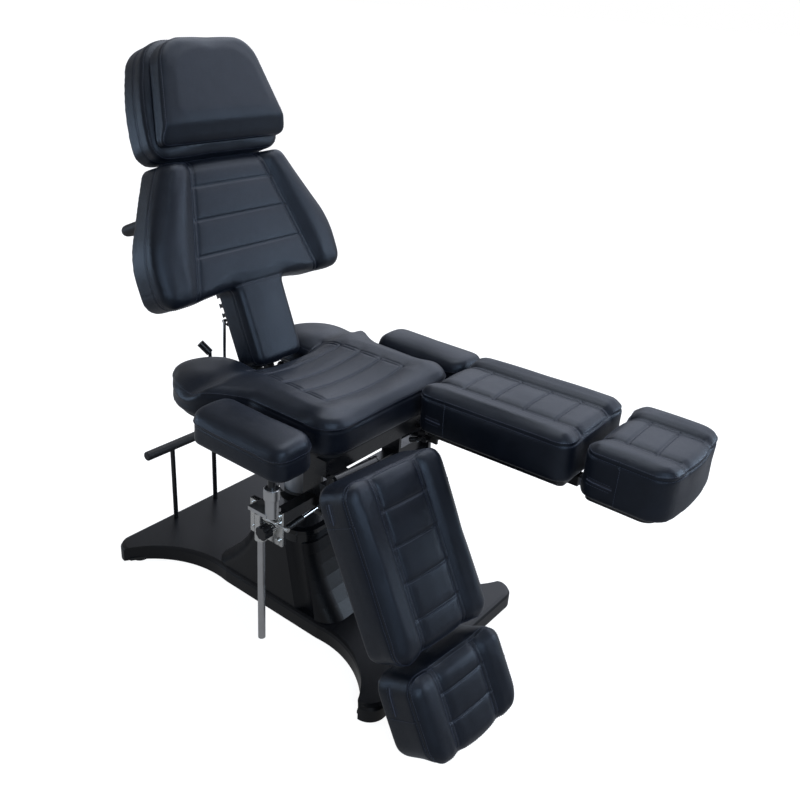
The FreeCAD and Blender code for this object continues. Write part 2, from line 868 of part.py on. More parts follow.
# Armrest carriers
def make_crossbar():
    half = crossbar_size / 2
    z = crossbar_z
    reach = arm_rod_x - bracket_stand
    y0, y1, z0, z1 = bracket_face
    parts = [box(-reach, reach, crossbar_y - half, crossbar_y + half, z - half, z + half)]
    rail_face = frame_rail_spread + frame_rail_width / 2
    plates = []
    brackets = []
    screws = []
    for side in (-1, 1):
        plates.append(box(min(side * rail_face, side * (rail_face + drop_plate)),
                          max(side * rail_face, side * (rail_face + drop_plate)),
                          crossbar_y - drop_half, crossbar_y + drop_half, z - half, frame_high() - drop_plate))
        flange = box(min(side * reach, side * (reach - flange_plate)),
                     max(side * reach, side * (reach - flange_plate)),
                     y0, y1, z0, z1)
        bracket = box(min(side * reach, side * (reach + bracket_plate)),
                      max(side * reach, side * (reach + bracket_plate)),
                      y0, y1, z0, z1)
        web_end = side * arm_rod_x
        web = box(min(side * reach, web_end), max(side * reach, web_end), arm_rod_y - web_half,
                  arm_rod_y + web_half,
                  sleeve_low, sleeve_high)
        sleeve = rod(sleeve_radius, (web_end, arm_rod_y, sleeve_low), (web_end, arm_rod_y, sleeve_high))
        boss = rod(knob_boss_radius, (side * reach, knob_y, knob_z),
                   (side * (arm_rod_x + knob_boss_reach), knob_y, knob_z))
        pin_boss = rod(pin_boss_radius, (side * pin_x, arm_rod_y, pin_z),
                       (side * pin_x, arm_rod_y - pin_boss_length, pin_z))
        body = fused([bracket, web, sleeve, boss, pin_boss])
        body = body.cut(rod(arm_rod_radius + running_gap, (web_end, arm_rod_y, sleeve_low - overrun),
                            (web_end, arm_rod_y, sleeve_high + overrun)))
        body = body.cut(rod(knob_stem_radius + running_gap, (side * (reach + bracket_plate), knob_y, knob_z),
                            (side * (arm_rod_x + knob_boss_reach + overrun), knob_y, knob_z)))
        body = body.cut(rod(pin_radius + running_gap, (side * pin_x, arm_rod_y, pin_z),
                            (side * pin_x, arm_rod_y - pin_boss_length - overrun, pin_z)))
        for y in (y0 + screw_inset, y1 - screw_inset):
            for z_screw in (z0 + screw_inset, z1 - screw_inset):
                inner = side * (reach - flange_plate)
                outer = side * (reach + bracket_plate)
                hole = rod(bolt_radius + running_gap, (inner - side * overrun, y, z_screw),
                           (outer + side * overrun, y, z_screw))
                body = body.cut(hole)
                flange = flange.cut(hole)
                head = rod(bolt_head_radius, (outer, y, z_screw),
                           (outer + side * bolt_head_height, y, z_screw))
                screws.append(rod(bolt_radius, (inner, y, z_screw), (outer, y, z_screw)).fuse(head))
        plates.append(flange)
        brackets.append(body)
    save("arm_crossbar", fused(parts + plates))
    save("arm_brackets", group(brackets))
    save("bracket_screws", group(screws))


def make_arms(side, name):
    x = side * arm_rod_x
    px = side * arm_pivot_x
    slider = rod(arm_rod_radius, (x, arm_rod_y, arm_rod_bottom), (x, arm_rod_y, arm_plate_low + overrun))
    tip = rod(arm_rod_radius, (x, arm_rod_y, arm_rod_bottom),
              (x, arm_rod_y, arm_rod_bottom + arm_rod_radius))
    slider = slider.fuse(tip)
    plate = box(-arm_plate_half, arm_plate_half, arm_pivot_y, arm_rod_y + arm_rod_radius * 1.4,
                arm_plate_low,
                socket_low)
    plate.translate(V((x + px) / 2, 0, 0))
    lower = rod(socket_radius_low, (px, arm_pivot_y, arm_plate_low), (px, arm_pivot_y, socket_step))
    upper = rod(socket_radius_high, (px, arm_pivot_y, socket_step), (px, arm_pivot_y, socket_high))
    upper = upper.makeChamfer(overrun, [edge for edge in upper.Edges if edge.Closed])
    slider = fused([slider, plate, lower, upper])
    slider = slider.cut(rod(arm_post_radius + running_gap, (px, arm_pivot_y, socket_low),
                            (px, arm_pivot_y, socket_high + overrun)))
    save(name + "_arm_slider", slider)
    low = seat_top - arm_thickness
    post = rod(arm_post_radius, (px, arm_pivot_y, socket_low + side_gap),
               (px, arm_pivot_y, low - arm_plate_height))
    carrier = rounded_rectangle(-arm_carrier_half, arm_carrier_half, arm_pivot_y - arm_carrier_half,
                                arm_rear - arm_carrier_half, arm_carrier_half / 2)
    carrier = slab(carrier, low - arm_plate_height, low)
    carrier.translate(V(px, 0, 0))
    post = fused([post, carrier])
    save(name + "_arm_post", post)
    cushion_low = low + soft_gap

    def outline(inset):
        r = arm_corner
        big = arm_inner_corner
        x0 = arm_inner
        x1 = arm_inner + arm_width
        y0 = -arm_front
        y1 = arm_rear
        points = [((x0 + x1) / 2, y0, -90, False)]
        points += arc_points(x1 - r, y0 + r, r, -90, 0)
        points += arc_points(x1 - r, y1 - r, r, 0, 90)
        points += arc_points(x0 + r, y1 - r, r, 90, 180)
        points += arc_points(x0 + big, y0 + big, big, 180, 270)
        points.append(points[0])
        if side < 0:
            points = [(-px_, py_, 180 - angle, bend) for px_, py_, angle, bend in reversed(points)]
        return contour(points, inset)

    body = stack(outline, cushion_levels(cushion_low, seat_top))
    save(name + "_arm_cushion", crowned_at(body, side * (arm_inner + arm_width / 2), arm_width / 2, seat_top,
                                           arm_crown, -arm_front, arm_rear))
    stem_start = arm_rod_x - bracket_stand + bracket_plate + side_gap
    knob_start = arm_rod_x + knob_boss_reach + side_gap
    knob = rod(knob_radius, (side * knob_start, knob_y, knob_z),
               (side * (knob_start + knob_width), knob_y, knob_z))
    knob = knob.makeFillet(overrun * 1.5, [edge for edge in knob.Edges if edge.Closed])
    for step in range(knob_lobes):
        y, z = corner(knob_y, knob_z, knob_radius + knob_scallop * 0.45, step * 360 / knob_lobes)
        knob = knob.cut(rod(knob_scallop, (side * (knob_start - overrun), y, z),
                            (side * (knob_start + knob_width + overrun), y, z)))
    stem = rod(knob_stem_radius, (side * stem_start, knob_y, knob_z),
               (side * (knob_start + overrun), knob_y, knob_z))
    save(name + "_arm_knob", fused([knob, stem]))
    pin_start = arm_rod_y - arm_rod_radius - side_gap
    pin = rod(pin_radius, (side * pin_x, pin_start, pin_z), (side * pin_x, pin_end, pin_z))
    head = rod(pin_head_radius, (side * pin_x, pin_end, pin_z),
               (side * pin_x, pin_end - pin_head_length, pin_z))
    save(name + "_arm_pin", fused([pin, head]))


def crowned_at(body, centre_x, half_width, top, rise, y0, y1):
    radius = (half_width ** 2 + rise ** 2) / (2 * rise)
    keep = Part.makeCylinder(radius, y1 - y0 + 2 * overrun, V(centre_x, y0 - overrun, top - radius), Y_AXIS)
    return body.common(keep)


# Swivel lock under the crossbar
def make_lock():
    z1 = crossbar_z - crossbar_size / 2
    z0 = z1 - lock_height
    middle = (z0 + z1) / 2
    half = crossbar_size / 2
    x, y = lock_pivot
    block = box(x - lock_half, x + lock_half + lock_web, y - half, y + half, z0, z1)
    slot = box(x - lock_half - overrun, x + lock_half, y - half - overrun, y + half + overrun,
               middle - lock_slot / 2, middle + lock_slot / 2)
    collar = block.cut(slot).fuse(rod(bolt_radius, (x, y, z0), (x, y, z1)))
    save("lock_collar", collar)
    hub = rod(lock_hub_radius, (x, y, middle - lock_slot / 2 + side_gap),
              (x, y, middle + lock_slot / 2 - side_gap))
    end_x, end_y = lock_grip_start
    share = (lock_grip_end - x) / (end_x - x)
    tip_y = y + (end_y - y) * share
    bar = rod(lock_rod_radius, (x, y, middle), (lock_grip_end + bolt_radius, tip_y, middle))
    lever = fused([hub, bar]).cut(rod(bolt_radius + running_gap, (x, y, z0), (x, y, z1)))
    save("lock_rod", lever)
    grip = rod(lock_grip_radius, (end_x, end_y, middle), (lock_grip_end, tip_y, middle))
    grip = grip.makeFillet(lock_grip_radius * 0.4, [edge for edge in grip.Edges if edge.Closed])
    save("lock_grip", grip.cut(bar))


def bent_tube(points, radius, bend):
    """Round bar along straight runs joined by tangent bends."""
    stops = [V(*point) for point in points]
    edges = []
    here = stops[0]
    for index in range(1, len(stops) - 1):
        into = (stops[index] - stops[index - 1]).normalize()
        out = (stops[index + 1] - stops[index]).normalize()
        half_turn = into.getAngle(out) / 2
        reach = bend * math.tan(half_turn)
        start = stops[index] - into * reach
        end = stops[index] + out * reach
        inward = (out - into).normalize()
        middle = stops[index] + inward * (bend / math.cos(half_turn) - bend)
        edges.append(Part.LineSegment(here, start).toShape())
        edges.append(Part.Arc(start, middle, end).toShape())
        here = end
    edges.append(Part.LineSegment(here, stops[-1]).toShape())
    first = (stops[1] - stops[0]).normalize()
    profile = Part.Wire(Part.makeCircle(radius, stops[0], first))
    return Part.Wire(edges).makePipeShell([profile], True, False)


def back_place(shape):
    return placed(shape, (0, hinge_y, hinge_z), 90 - recline)


def back_outline(inset):
    w = back_half_width
    slope = math.degrees(math.atan((w - back_top_half_width) / (back_top - back_shoulder)))
    turn = math.radians(slope)
    run = back_shoulder_radius * math.tan(turn / 2)
    r = back_corner_radius
    centre_v = back_top - r
    centre_x = w - (r + (centre_v - back_shoulder) * math.sin(turn)) / math.cos(turn)
    foot = stem_top + back_gap
    points = [(0, foot, -90, False), (stem_half_width * 0.9, foot, -90, False)]
    points.append((w * 0.47, (foot + back_bottom) / 2, -99, True))
    points.append((w * 0.68, back_bottom, -92, False))
    points += arc_points(w - back_lobe_radius, back_bottom + back_lobe_radius, back_lobe_radius, -90, 0)
    points += arc_points(w - back_shoulder_radius, back_shoulder - run, back_shoulder_radius, 0, slope)
    points += arc_points(centre_x, centre_v, r, slope, 90)
    points.append((0, back_top, 90, False))
    return contour(mirrored(points), inset)


def stem_outline(inset):
    r = edge_roll + channel_radius
    return rounded_rectangle(-stem_half_width + inset, stem_half_width - inset, stem_bottom + inset,
                             stem_top - inset, r - inset + overrun)


def make_back():
    face = hinge_to_face
    board = slab(back_outline(board_inset), back_board_bottom, back_board_top)
    board = board.fuse(box(-stem_board_half, stem_board_half, stem_bottom - board_inset,
                           stem_top + board_inset * 2,
                           back_board_bottom, back_board_top)).removeSplitter()
    save("back_board", back_place(board))
    low = back_board_top + soft_gap
    body = stack(back_outline, cushion_levels(low, face))
    body = crowned(body, back_half_width, face, back_crown, back_bottom, back_top)
    channels = []
    for v in back_cross_seams:
        share = (v - back_seam_foot[1]) / (back_seam_top[1] - back_seam_foot[1])
        reach = back_seam_foot[0] + (back_seam_top[0] - back_seam_foot[0]) * share
        channels.append(cross_channel(back_half_width, face, back_crown, v, reach))
    for side in (-1, 1):
        ends = []
        for x, v in (back_seam_foot, back_seam_top):
            ends.append((side * x, v, crown_height(back_half_width, face, back_crown, x)))
        channels.append(rod(channel_radius, ends[0], ends[1]))
    save("back_cushion", back_place(sewn(body, channels)))
    stem = stack(stem_outline, cushion_levels(low, face))
    save("stem_cushion", back_place(stem))
    depth = back_board_bottom
    parts = []
    for side in (-1, 1):
        x = side * back_tube_spread
        parts.append(box(x - back_tube_width / 2, x + back_tube_width / 2, 0, back_tube_top,
                         depth - back_tube_depth, depth))
    for v0, v1, half in back_bars:
        parts.append(box(-half, half, v0, v1, depth - back_tube_depth, depth))
    parts.append(rod(back_sleeve_radius, (-back_sleeve_half, 0, 0), (back_sleeve_half, 0, 0)))
    for side in (-1, 1):
        x = side * head_post_spread
        for v0, v1 in head_sleeves:
            parts.append(rod(head_sleeve_radius, (x, v0, head_post_depth), (x, v1, head_post_depth)))
    for v0, v1 in head_sleeves:
        reach = head_post_spread
        parts.append(box(-reach, reach, (v0 + v1) / 2 - bolt_radius, (v0 + v1) / 2 + bolt_radius,
                         depth - back_tube_depth, depth))
    frame = fused(parts)
    frame = frame.cut(rod(hinge_pin_radius + running_gap, (-back_half_width, 0, 0), (back_half_width, 0, 0)))
    for side in (-1, 1):
        x = side * head_post_spread
        frame = frame.cut(rod(head_post_radius + running_gap,
                              (x, head_sleeves[0][0] - overrun, head_post_depth),
                              (x, head_sleeves[1][1] + overrun, head_post_depth)))
    save("back_frame", back_place(frame))
    make_racks()
    handle = bent_tube([(-handle_spread, handle_place, depth), (-handle_spread, handle_place, handle_depth),
                        (handle_spread, handle_place, handle_depth), (handle_spread, handle_place, depth)],
                       handle_radius, handle_bend)
    save("push_handle", back_place(handle))


def make_racks():
    inner = back_tube_spread + back_tube_width / 2
    racks = []
    centre = rack_pin_depth + prop_radius - rack_notch_radius
    for side in (-1, 1):
        x0 = min(side * inner, side * (inner + rack_thickness))
        x1 = max(side * inner, side * (inner + rack_thickness))
        plate = side_plate([(rack_low, back_board_bottom), (rack_low, rack_rear + rack_notch_radius),
                            (rack_low + rack_notch_radius, rack_rear),
                            (rack_high - rack_notch_radius, rack_rear),
                            (rack_high, rack_rear + rack_notch_radius),
                            (rack_high, back_board_bottom)], x0, x1)
        cuts = []
        for tooth in range(rack_teeth):
            v = rack_pin_place + tooth * rack_pitch
            cuts.append(rod(rack_notch_radius, (x0 - overrun, v, centre), (x1 + overrun, v, centre)))
        v = rack_low + rack_pitch
        cuts.append(rod(prop_radius + overrun, (x0 - overrun, v, centre + rack_notch_radius),
                        (x1 + overrun, v, centre + rack_notch_radius)))
        for v0, v1, half in back_bars:
            cuts.append(box(x0 - overrun, x1 + overrun, v0 - side_gap, v1 + side_gap,
                            back_board_bottom - back_tube_depth - side_gap, back_board_bottom + overrun))
        racks.append(plate.cut(cuts))
    save("notch_racks", back_place(group(racks)))


def pin_world():
    turn = math.radians(90 - recline)
    y = hinge_y + rack_pin_place * math.cos(turn) - rack_pin_depth * math.sin(turn)
    z = hinge_z + rack_pin_place * math.sin(turn) + rack_pin_depth * math.cos(turn)
    return y, z


def make_prop():
    sy = hinge_y + prop_foot_y
    sz = hinge_z + prop_foot_z
    py, pz = pin_world()
    parts = []
    plate_end = back_tube_spread + back_tube_width / 2 + rack_thickness + side_gap
    for side in (-1, 1):
        x = side * prop_spread
        parts.append(rod(prop_radius, (x, sy, sz), (x, py, pz)))
        parts.append(rod(prop_eye_radius, (x - prop_eye_half, sy, sz), (x + prop_eye_half, sy, sz)))
        pin_end = side * (prop_spread + prop_radius + 2 * side_gap)
        parts.append(rod(prop_radius, (side * plate_end, py, pz), (pin_end, py, pz)))
    tie_y = sy + (py - sy) * prop_tie_share
    tie_z = sz + (pz - sz) * prop_tie_share
    parts.append(rod(prop_radius - side_gap, (-prop_spread, tie_y, tie_z), (prop_spread, tie_y, tie_z)))
    prop = fused(parts).cut(rod(prop_pin_radius + running_gap, (-back_half_width, sy, sz),
                                (back_half_width, sy, sz)))
    save("prop_rods", prop)


def make_recline_lever():
    sy = hinge_y + prop_foot_y
    sz = hinge_z + prop_foot_z
    start = -(hinge_plate_x + hinge_plate_width + side_gap)
    hub = rod(prop_eye_radius, (start, sy, sz), (-recline_lever_reach, sy, sz))
    tip_x, tip_y, tip_z = lever_grip_tip
    neck = (lever_x, sy + lever_set_back, sz + lever_rise)
    bar = bent_tube([(start - prop_eye_radius, sy, sz),
                     (lever_x, sy + lever_set_back * 0.6, sz + lever_radius * 2),
                     neck], lever_radius, lever_radius * 1.2)
    grip = rod(lever_grip_radius, (neck[0], neck[1], neck[2] - bolt_head_height),
               (tip_x, sy + tip_y, sz + tip_z))
    lever = fused([hub, bar, grip])
    lever = lever.cut(rod(prop_pin_radius + running_gap, (start + overrun, sy, sz),
                          (-recline_lever_reach - overrun, sy, sz)))
    save("recline_lever", lever)


def head_outline(inset):
    w = head_half_width
    top = head_top_half_width
    low = head_corner_low
    high = head_corner_high
    lean = 15
    points = [(0, head_bottom, -90, False)]
    points += arc_points(w - low, head_bottom + low, low, -90, 0)
    corner_x = top + (w - top) * 0.05 - high * math.cos(math.radians(lean))
    bend_x, bend_v = corner(corner_x, head_top - high, high, lean)
    points.append((w - (w - bend_x) * 0.3, (head_bottom + low + bend_v) / 2, 8, True))
    points += arc_points(corner_x, head_top - high, high, lean, 90)
    points.append((0, head_top, 90, False))
    return contour(mirrored(points), inset)


def pillow_outline(inset):
    w = pillow_half_width
    top = pillow_top_half_width
    r = edge_roll + channel_radius * 2
    high = (pillow_high - pillow_crease) * 0.22
    lean = math.degrees(math.atan((w - top) / (pillow_high - pillow_low - high - r)))
    corner_x = top - high * math.cos(math.radians(lean))
    points = [(0, pillow_low, -90, False)]
    points += arc_points(w - r, pillow_low + r, r, -90, lean)
    points += arc_points(corner_x, pillow_high - high, high, lean, 90)
    points.append((0, pillow_high, 90, False))
    return contour(mirrored(points), inset)


def make_head():
    face = back_board_top + head_thickness
    x = head_post_spread
    posts = []
    for side in (-1, 1):
        posts.append(rod(head_post_radius, (side * x, head_post_low, head_post_depth),
                         (side * x, head_hinge_place + head_post_radius, head_post_depth)))
    posts.append(rod(head_pin_radius, (-x, head_hinge_place, head_post_depth),
                     (x, head_hinge_place, head_post_depth)))
    save("head_posts", back_place(fused(posts)))
    board = slab(head_outline(board_inset), back_board_bottom, back_board_top)
    parts = [board]
    for side in (-1, 1):
        x0 = min(side * head_lug[0], side * head_lug[1])
        x1 = max(side * head_lug[0], side * head_lug[1])
        parts.append(rod(head_lug_radius, (x0, head_hinge_place, head_post_depth),
                         (x1, head_hinge_place, head_post_depth)))
        parts.append(box(x0, x1, head_hinge_place - head_pin_radius, head_hinge_place + head_pin_radius,
                         head_post_depth, back_board_bottom))
    board = fused(parts).cut(rod(head_pin_radius + running_gap, (-x, head_hinge_place, head_post_depth),
                                 (x, head_hinge_place, head_post_depth)))
    save("head_board", back_place(board))
    low = back_board_top + soft_gap
    body = stack(head_outline, cushion_levels(low, face))
    save("head_cushion", back_place(body))
    base = face + soft_gap
    top = face + pillow_thickness
    pillow = stack(pillow_outline, cushion_levels(base, top))
    pillow = crowned(pillow, pillow_half_width, top, head_crown, pillow_low, pillow_high)
    bevel = side_plate([(pillow_low - overrun, top - pillow_bevel), (pillow_crease, top),
                        (pillow_crease, top + overrun),
                        (pillow_low - overrun, top + overrun)], -pillow_half_width - overrun,
                       pillow_half_width + overrun)
    save("head_pillow", back_place(pillow.cut(bevel)))


def leg_angles(side):
    if side < 0:
        return right_leg_angle, right_yoke_angle, right_foot_angle
    return left_leg_angle, left_yoke_angle, left_foot_angle


def yoke_place(shape, side):
    spread = leg_angles(side)[1]
    return placed(shape, (side * leg_centre, front_tube_y, 0), 0, spread)


def leg_place(shape, side):
    pitch = leg_angles(side)[0]
    tilted = placed(shape, (0, leg_hinge_y - front_tube_y, leg_hinge_z), -pitch)
    return yoke_place(tilted, side)


def foot_place(shape, side):
    tilt = leg_angles(side)[2]
    return leg_place(placed(shape, (0, -foot_hinge, 0), -tilt), side)


def leg_outline(inset):
    return rounded_rectangle(-leg_half_width + inset, leg_half_width - inset,
                             leg_back_step - leg_length + inset,
                             leg_back_step - inset, leg_corner - inset)


def foot_outline(inset):
    w = foot_half_width
    r = foot_corner
    bulge = foot_bulge_angle
    turn = math.radians(bulge)
    side_x = w - r + r * math.sin(turn)
    swing = side_x / math.sin(turn)
    front = -foot_rear - foot_length
    centre_y = front + swing * (1 - math.cos(turn)) + r * math.cos(turn)
    points = [(0, front, -90, False)]
    mid_x, mid_y = corner(0, front + swing, swing, -90 + bulge / 2)
    points.append((mid_x, mid_y, -90 + bulge / 2, True))
    points += arc_points(w - r, centre_y, r, -90 + bulge, 0)
    points += arc_points(w - leg_corner, -foot_rear - leg_corner, leg_corner, 0, 90)
    points.append((0, -foot_rear, 90, False))
    return contour(mirrored(points), inset)


def make_leg(side, name):
    inner = -side
    pin_y = leg_hinge_y - front_tube_y
    plate_top = frame_low() - yoke_gap
    ear = yoke_ear_x
    outer = yoke_ear_x + yoke_ear_width
    parts = [box(-outer, outer, pin_y + yoke_back - overrun * 3, pin_y + yoke_back + leg_sleeve_radius * 1.7,
                 yoke_low, plate_top)]
    parts.append(box(-yoke_tongue_half, yoke_tongue_half, pin_y + yoke_back, tube_half, yoke_low, plate_top))
    for hand in (-1, 1):
        x0 = min(hand * ear, hand * outer)
        x1 = max(hand * ear, hand * outer)
        parts.append(box(x0, x1, pin_y - yoke_ear_radius, pin_y + yoke_back, yoke_low, leg_hinge_z))
        parts.append(rod(yoke_ear_radius, (x0, pin_y, leg_hinge_z), (x1, pin_y, leg_hinge_z)))
    reach = outer + bolt_head_height
    parts.append(rod(leg_pin_radius, (-reach, pin_y, leg_hinge_z), (reach, pin_y, leg_hinge_z)))
    parts.append(rod(yoke_pin_radius, (0, 0, yoke_low), (0, 0, frame_high() - side_gap)))
    lever_y, lever_z = lock_lever_place
    lock_end = lock_lever_x + foot_pin_radius * 2 + overrun
    parts.append(rod(bolt_radius, (inner * ear, lever_y, lever_z), (inner * lock_end, lever_y, lever_z)))
    save(name + "_leg_yoke", yoke_place(fused(parts), side))
    hub_end = lock_lever_x + foot_pin_radius * 2
    hub = rod(prop_eye_radius, (inner * lock_lever_x, lever_y, lever_z), (inner * hub_end, lever_y, lever_z))
    tip_y, tip_z = lock_lever_tip
    x = inner * (lock_lever_x + hub_end) / 2
    arm = rod(bolt_radius, (x, lever_y, lever_z), (x, tip_y, tip_z))
    knob = rod(bolt_head_radius, (x, (lever_y + tip_y) / 2, (lever_z + tip_z) / 2), (x, tip_y, tip_z))
    lock = fused([hub, arm, knob]).cut(rod(bolt_radius + running_gap, (0, lever_y, lever_z),
                                           (inner * leg_half_width, lever_y, lever_z)))
    save(name + "_leg_lock", yoke_place(lock, side))
    half = leg_tube / 2
    bore = leg_tube_bore / 2
    parts = [rod(leg_sleeve_radius, (-leg_sleeve_half, 0, 0), (leg_sleeve_half, 0, 0))]
    hollow = []
    for hand in (-1, 1):
        x = hand * leg_tube_spread
        parts.append(box(x - half, x + half, -leg_tube_length, -bolt_head_height, -half, half))
        hollow.append(box(x - bore, x + bore, -leg_tube_length - overrun, -leg_sleeve_radius - overrun,
                          -bore, bore))
    for y in (leg_sleeve_radius * 2, leg_tube_length * 0.62):
        reach = leg_tube_spread - half + overrun / 2
        parts.append(box(-reach, reach, -y - leg_tube_bore, -y, -half, half))
    board = rounded_rectangle(-leg_half_width + board_inset, leg_half_width - board_inset,
                              leg_back_step - leg_length + board_inset, -leg_sleeve_radius - overrun / 2, board_inset)
    parts.append(slab(board, half, half + leg_board))
    frame = fused(parts).cut(hollow)
    frame = frame.cut(rod(leg_pin_radius + running_gap, (-leg_half_width, 0, 0), (leg_half_width, 0, 0)))
    save(name + "_leg_frame", leg_place(frame, side))
    low = half + leg_board + soft_gap
    top = half + leg_thickness
    body = stack(leg_outline, cushion_levels(low, top))
    rear = leg_back_step
    front = leg_back_step - leg_length
    body = crowned(body, leg_half_width, top, leg_crown, front, rear)
    channels = []
    for section in range(1, leg_sections):
        y = rear - leg_length * section / leg_sections
        channels.append(cross_channel(leg_half_width, top, leg_crown, y, seam_reach))
    z = crown_height(leg_half_width, top, leg_crown, leg_seam_spread)
    for hand in (-1, 1):
        channels.append(rod(channel_radius, (hand * leg_seam_spread, front + edge_roll, z),
                            (hand * leg_seam_spread, rear - edge_roll, z)))
    save(name + "_leg_cushion", leg_place(sewn(body, channels), side))
    make_foot(side, name)


def make_foot(side, name):
    half = foot_bar / 2
    parts = []
    for hand in (-1, 1):
        x = hand * leg_tube_spread
        parts.append(box(x - half, x + half, -foot_hinge - foot_pin_radius, -foot_bar_start, -half, half))
    parts.append(rod(foot_pin_radius, (-foot_pin_half, -foot_hinge, 0), (foot_pin_half, -foot_hinge, 0)))
    save(name + "_foot_slide", leg_place(fused(parts), side))
    x0, x1, reach = foot_arm
    parts = [rod(foot_sleeve_radius, (-foot_sleeve_half, 0, 0), (foot_sleeve_half, 0, 0))]
    for hand in (-1, 1):
        parts.append(box(min(hand * x0, hand * x1), max(hand * x0, hand * x1), -reach, 0, -foot_board_low,
                         foot_board_low))
    parts.append(slab(foot_outline(board_inset), foot_board_low, foot_board_high))
    bracket = fused(parts).cut(rod(foot_pin_radius + running_gap, (-leg_half_width, 0, 0),
                                   (leg_half_width, 0, 0)))
    save(name + "_foot_bracket", foot_place(bracket, side))
    low = foot_board_high + soft_gap
    top = foot_board_high + foot_thickness
    body = stack(foot_outline, cushion_levels(low, top))
    front = -foot_rear - foot_length
    body = crowned(body, foot_half_width, top, leg_crown, front, -foot_rear)
    channels = []
    for section in range(1, foot_sections):
        y = -foot_rear - foot_length * section / foot_sections
        channels.append(cross_channel(foot_half_width, top, leg_crown, y, seam_reach))
    z = crown_height(foot_half_width, top, leg_crown, leg_seam_spread)
    for hand in (-1, 1):
        channels.append(rod(channel_radius, (hand * leg_seam_spread, front + edge_roll, z),
                            (hand * leg_seam_spread, -foot_rear - edge_roll, z)))
    save(name + "_foot_cushion", foot_place(sewn(body, channels), side))


make_base()
make_cap()
make_lift()
make_pump()
make_rear_bar()
make_hub()
make_seat_frame()
make_seat()
make_crossbar()
make_lock()
make_back()
make_prop()
make_recline_lever()
make_head()
for hand, hand_name in ((-1, "right"), (1, "left")):
    make_arms(hand, hand_name)
    make_leg(hand, hand_name)
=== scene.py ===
"""Tattoo chair: leather cushions, stitching, finishes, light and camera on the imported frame."""
import json
import math

import bpy
import numpy as np
from mathutils import Matrix, Vector
from mathutils.bvhtree import BVHTree


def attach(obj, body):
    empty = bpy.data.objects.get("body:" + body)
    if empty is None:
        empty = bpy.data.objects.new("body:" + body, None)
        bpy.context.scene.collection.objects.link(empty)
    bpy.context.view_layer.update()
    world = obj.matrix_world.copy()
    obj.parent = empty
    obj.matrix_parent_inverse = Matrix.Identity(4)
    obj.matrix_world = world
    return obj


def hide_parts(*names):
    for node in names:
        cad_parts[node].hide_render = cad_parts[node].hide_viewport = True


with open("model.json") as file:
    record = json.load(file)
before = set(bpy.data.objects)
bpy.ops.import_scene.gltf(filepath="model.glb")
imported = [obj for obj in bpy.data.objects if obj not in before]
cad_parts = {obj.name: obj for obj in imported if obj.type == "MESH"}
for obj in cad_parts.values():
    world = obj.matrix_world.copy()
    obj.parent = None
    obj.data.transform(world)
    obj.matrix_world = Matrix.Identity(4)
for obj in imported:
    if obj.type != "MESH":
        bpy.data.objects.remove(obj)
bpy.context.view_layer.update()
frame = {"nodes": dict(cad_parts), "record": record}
nodes = frame["nodes"]
scene = bpy.context.scene
MM = 0.001
SIDES = ((1, "left"), (-1, "right"))

# Shape values shared with the CAD, in millimetres and degrees; low and top are a pad's two faces
RECLINE = 23.5
HINGE = (0, 137.6, 560)
SEAT_LOW, SEAT_TOP = 563.4, 644
ARM_LOW = 562.4
ARM_CENTRE = 313
BACK_LOW, BACK_TOP = 4.4, 84
BACK_HALF = 289
BACK_PEAK = 540
BACK_PEAK_HALF = 184
STEM_HALF = 73
HEAD_HALF = 194
PILLOW_LOW, PILLOW_TOP = 84.4, 138
PILLOW_CREASE = 613
LEG_LOW, LEG_TOP = 25.4, 126
LEG_HALF = 139
LEG_FRONT, LEG_REAR = -384, 1
FOOT_LOW, FOOT_TOP = 19.4, 132
FOOT_HALF = 137
FOOT_FRONT, FOOT_REAR = -208, -13
LEG_CENTRE = 170
TUBE_Y = -255
LEG_HINGE = (-322, 535)
FOOT_HINGE_Y = -400
LEG_ANGLES = {"right": (-61, -5.2, 0.5), "left": (1.2, 0.5, -1.5)}


# Materials
def new_material(name):
    mat = bpy.data.materials.new(name)
    mat.use_nodes = True
    nt = mat.node_tree
    shader = nt.nodes["Principled BSDF"]
    return mat, nt, shader


def fill(nt, target, inputs):
    """Give a node's inputs their values, or link them where the value is another node's output."""
    for key, value in inputs.items():
        if isinstance(value, bpy.types.NodeSocket):
            nt.links.new(value, target.inputs[key])
        else:
            target.inputs[key].default_value = value


def add(nt, kind, inputs=None, **settings):
    """New shader node with its settings and inputs."""
    made = nt.nodes.new("ShaderNode" + kind)
    for key, value in settings.items():
        setattr(made, key, value)
    fill(nt, made, inputs or {})
    return made


def object_coords(nt):
    return add(nt, "TexCoord").outputs["Object"]


def noise(nt, vector, scale, detail=3.0, rough=0.5):
    made = add(nt, "TexNoise", {"Vector": vector, "Scale": scale, "Detail": detail, "Roughness": rough})
    return made.outputs["Fac"]


def rgba(value):
    """Full colour from three parts or from one grey."""
    return (*value, 1) if isinstance(value, tuple) else (value, value, value, 1)


def shaded(colour, share):
    return tuple(part * share for part in colour)


def ramp(nt, fac, low, high, start=0.3, end=0.7):
    """Colours, or greys given as one number, blended between two levels of a factor."""
    made = add(nt, "ValToRGB", {"Fac": fac})
    for element, place, value in zip(made.color_ramp.elements, (start, end), (low, high)):
        element.position = place
        element.color = rgba(value)
    return made.outputs["Color"]


def bump_chain(nt, shader, layers):
    """Bumps laid over each other, each as (height, strength, distance in metres)."""
    under = {}
    for height, strength, distance in layers:
        made = add(nt, "Bump", {"Height": height, "Strength": strength, "Distance": distance, **under})
        under = {"Normal": made.outputs["Normal"]}
    fill(nt, shader, under)


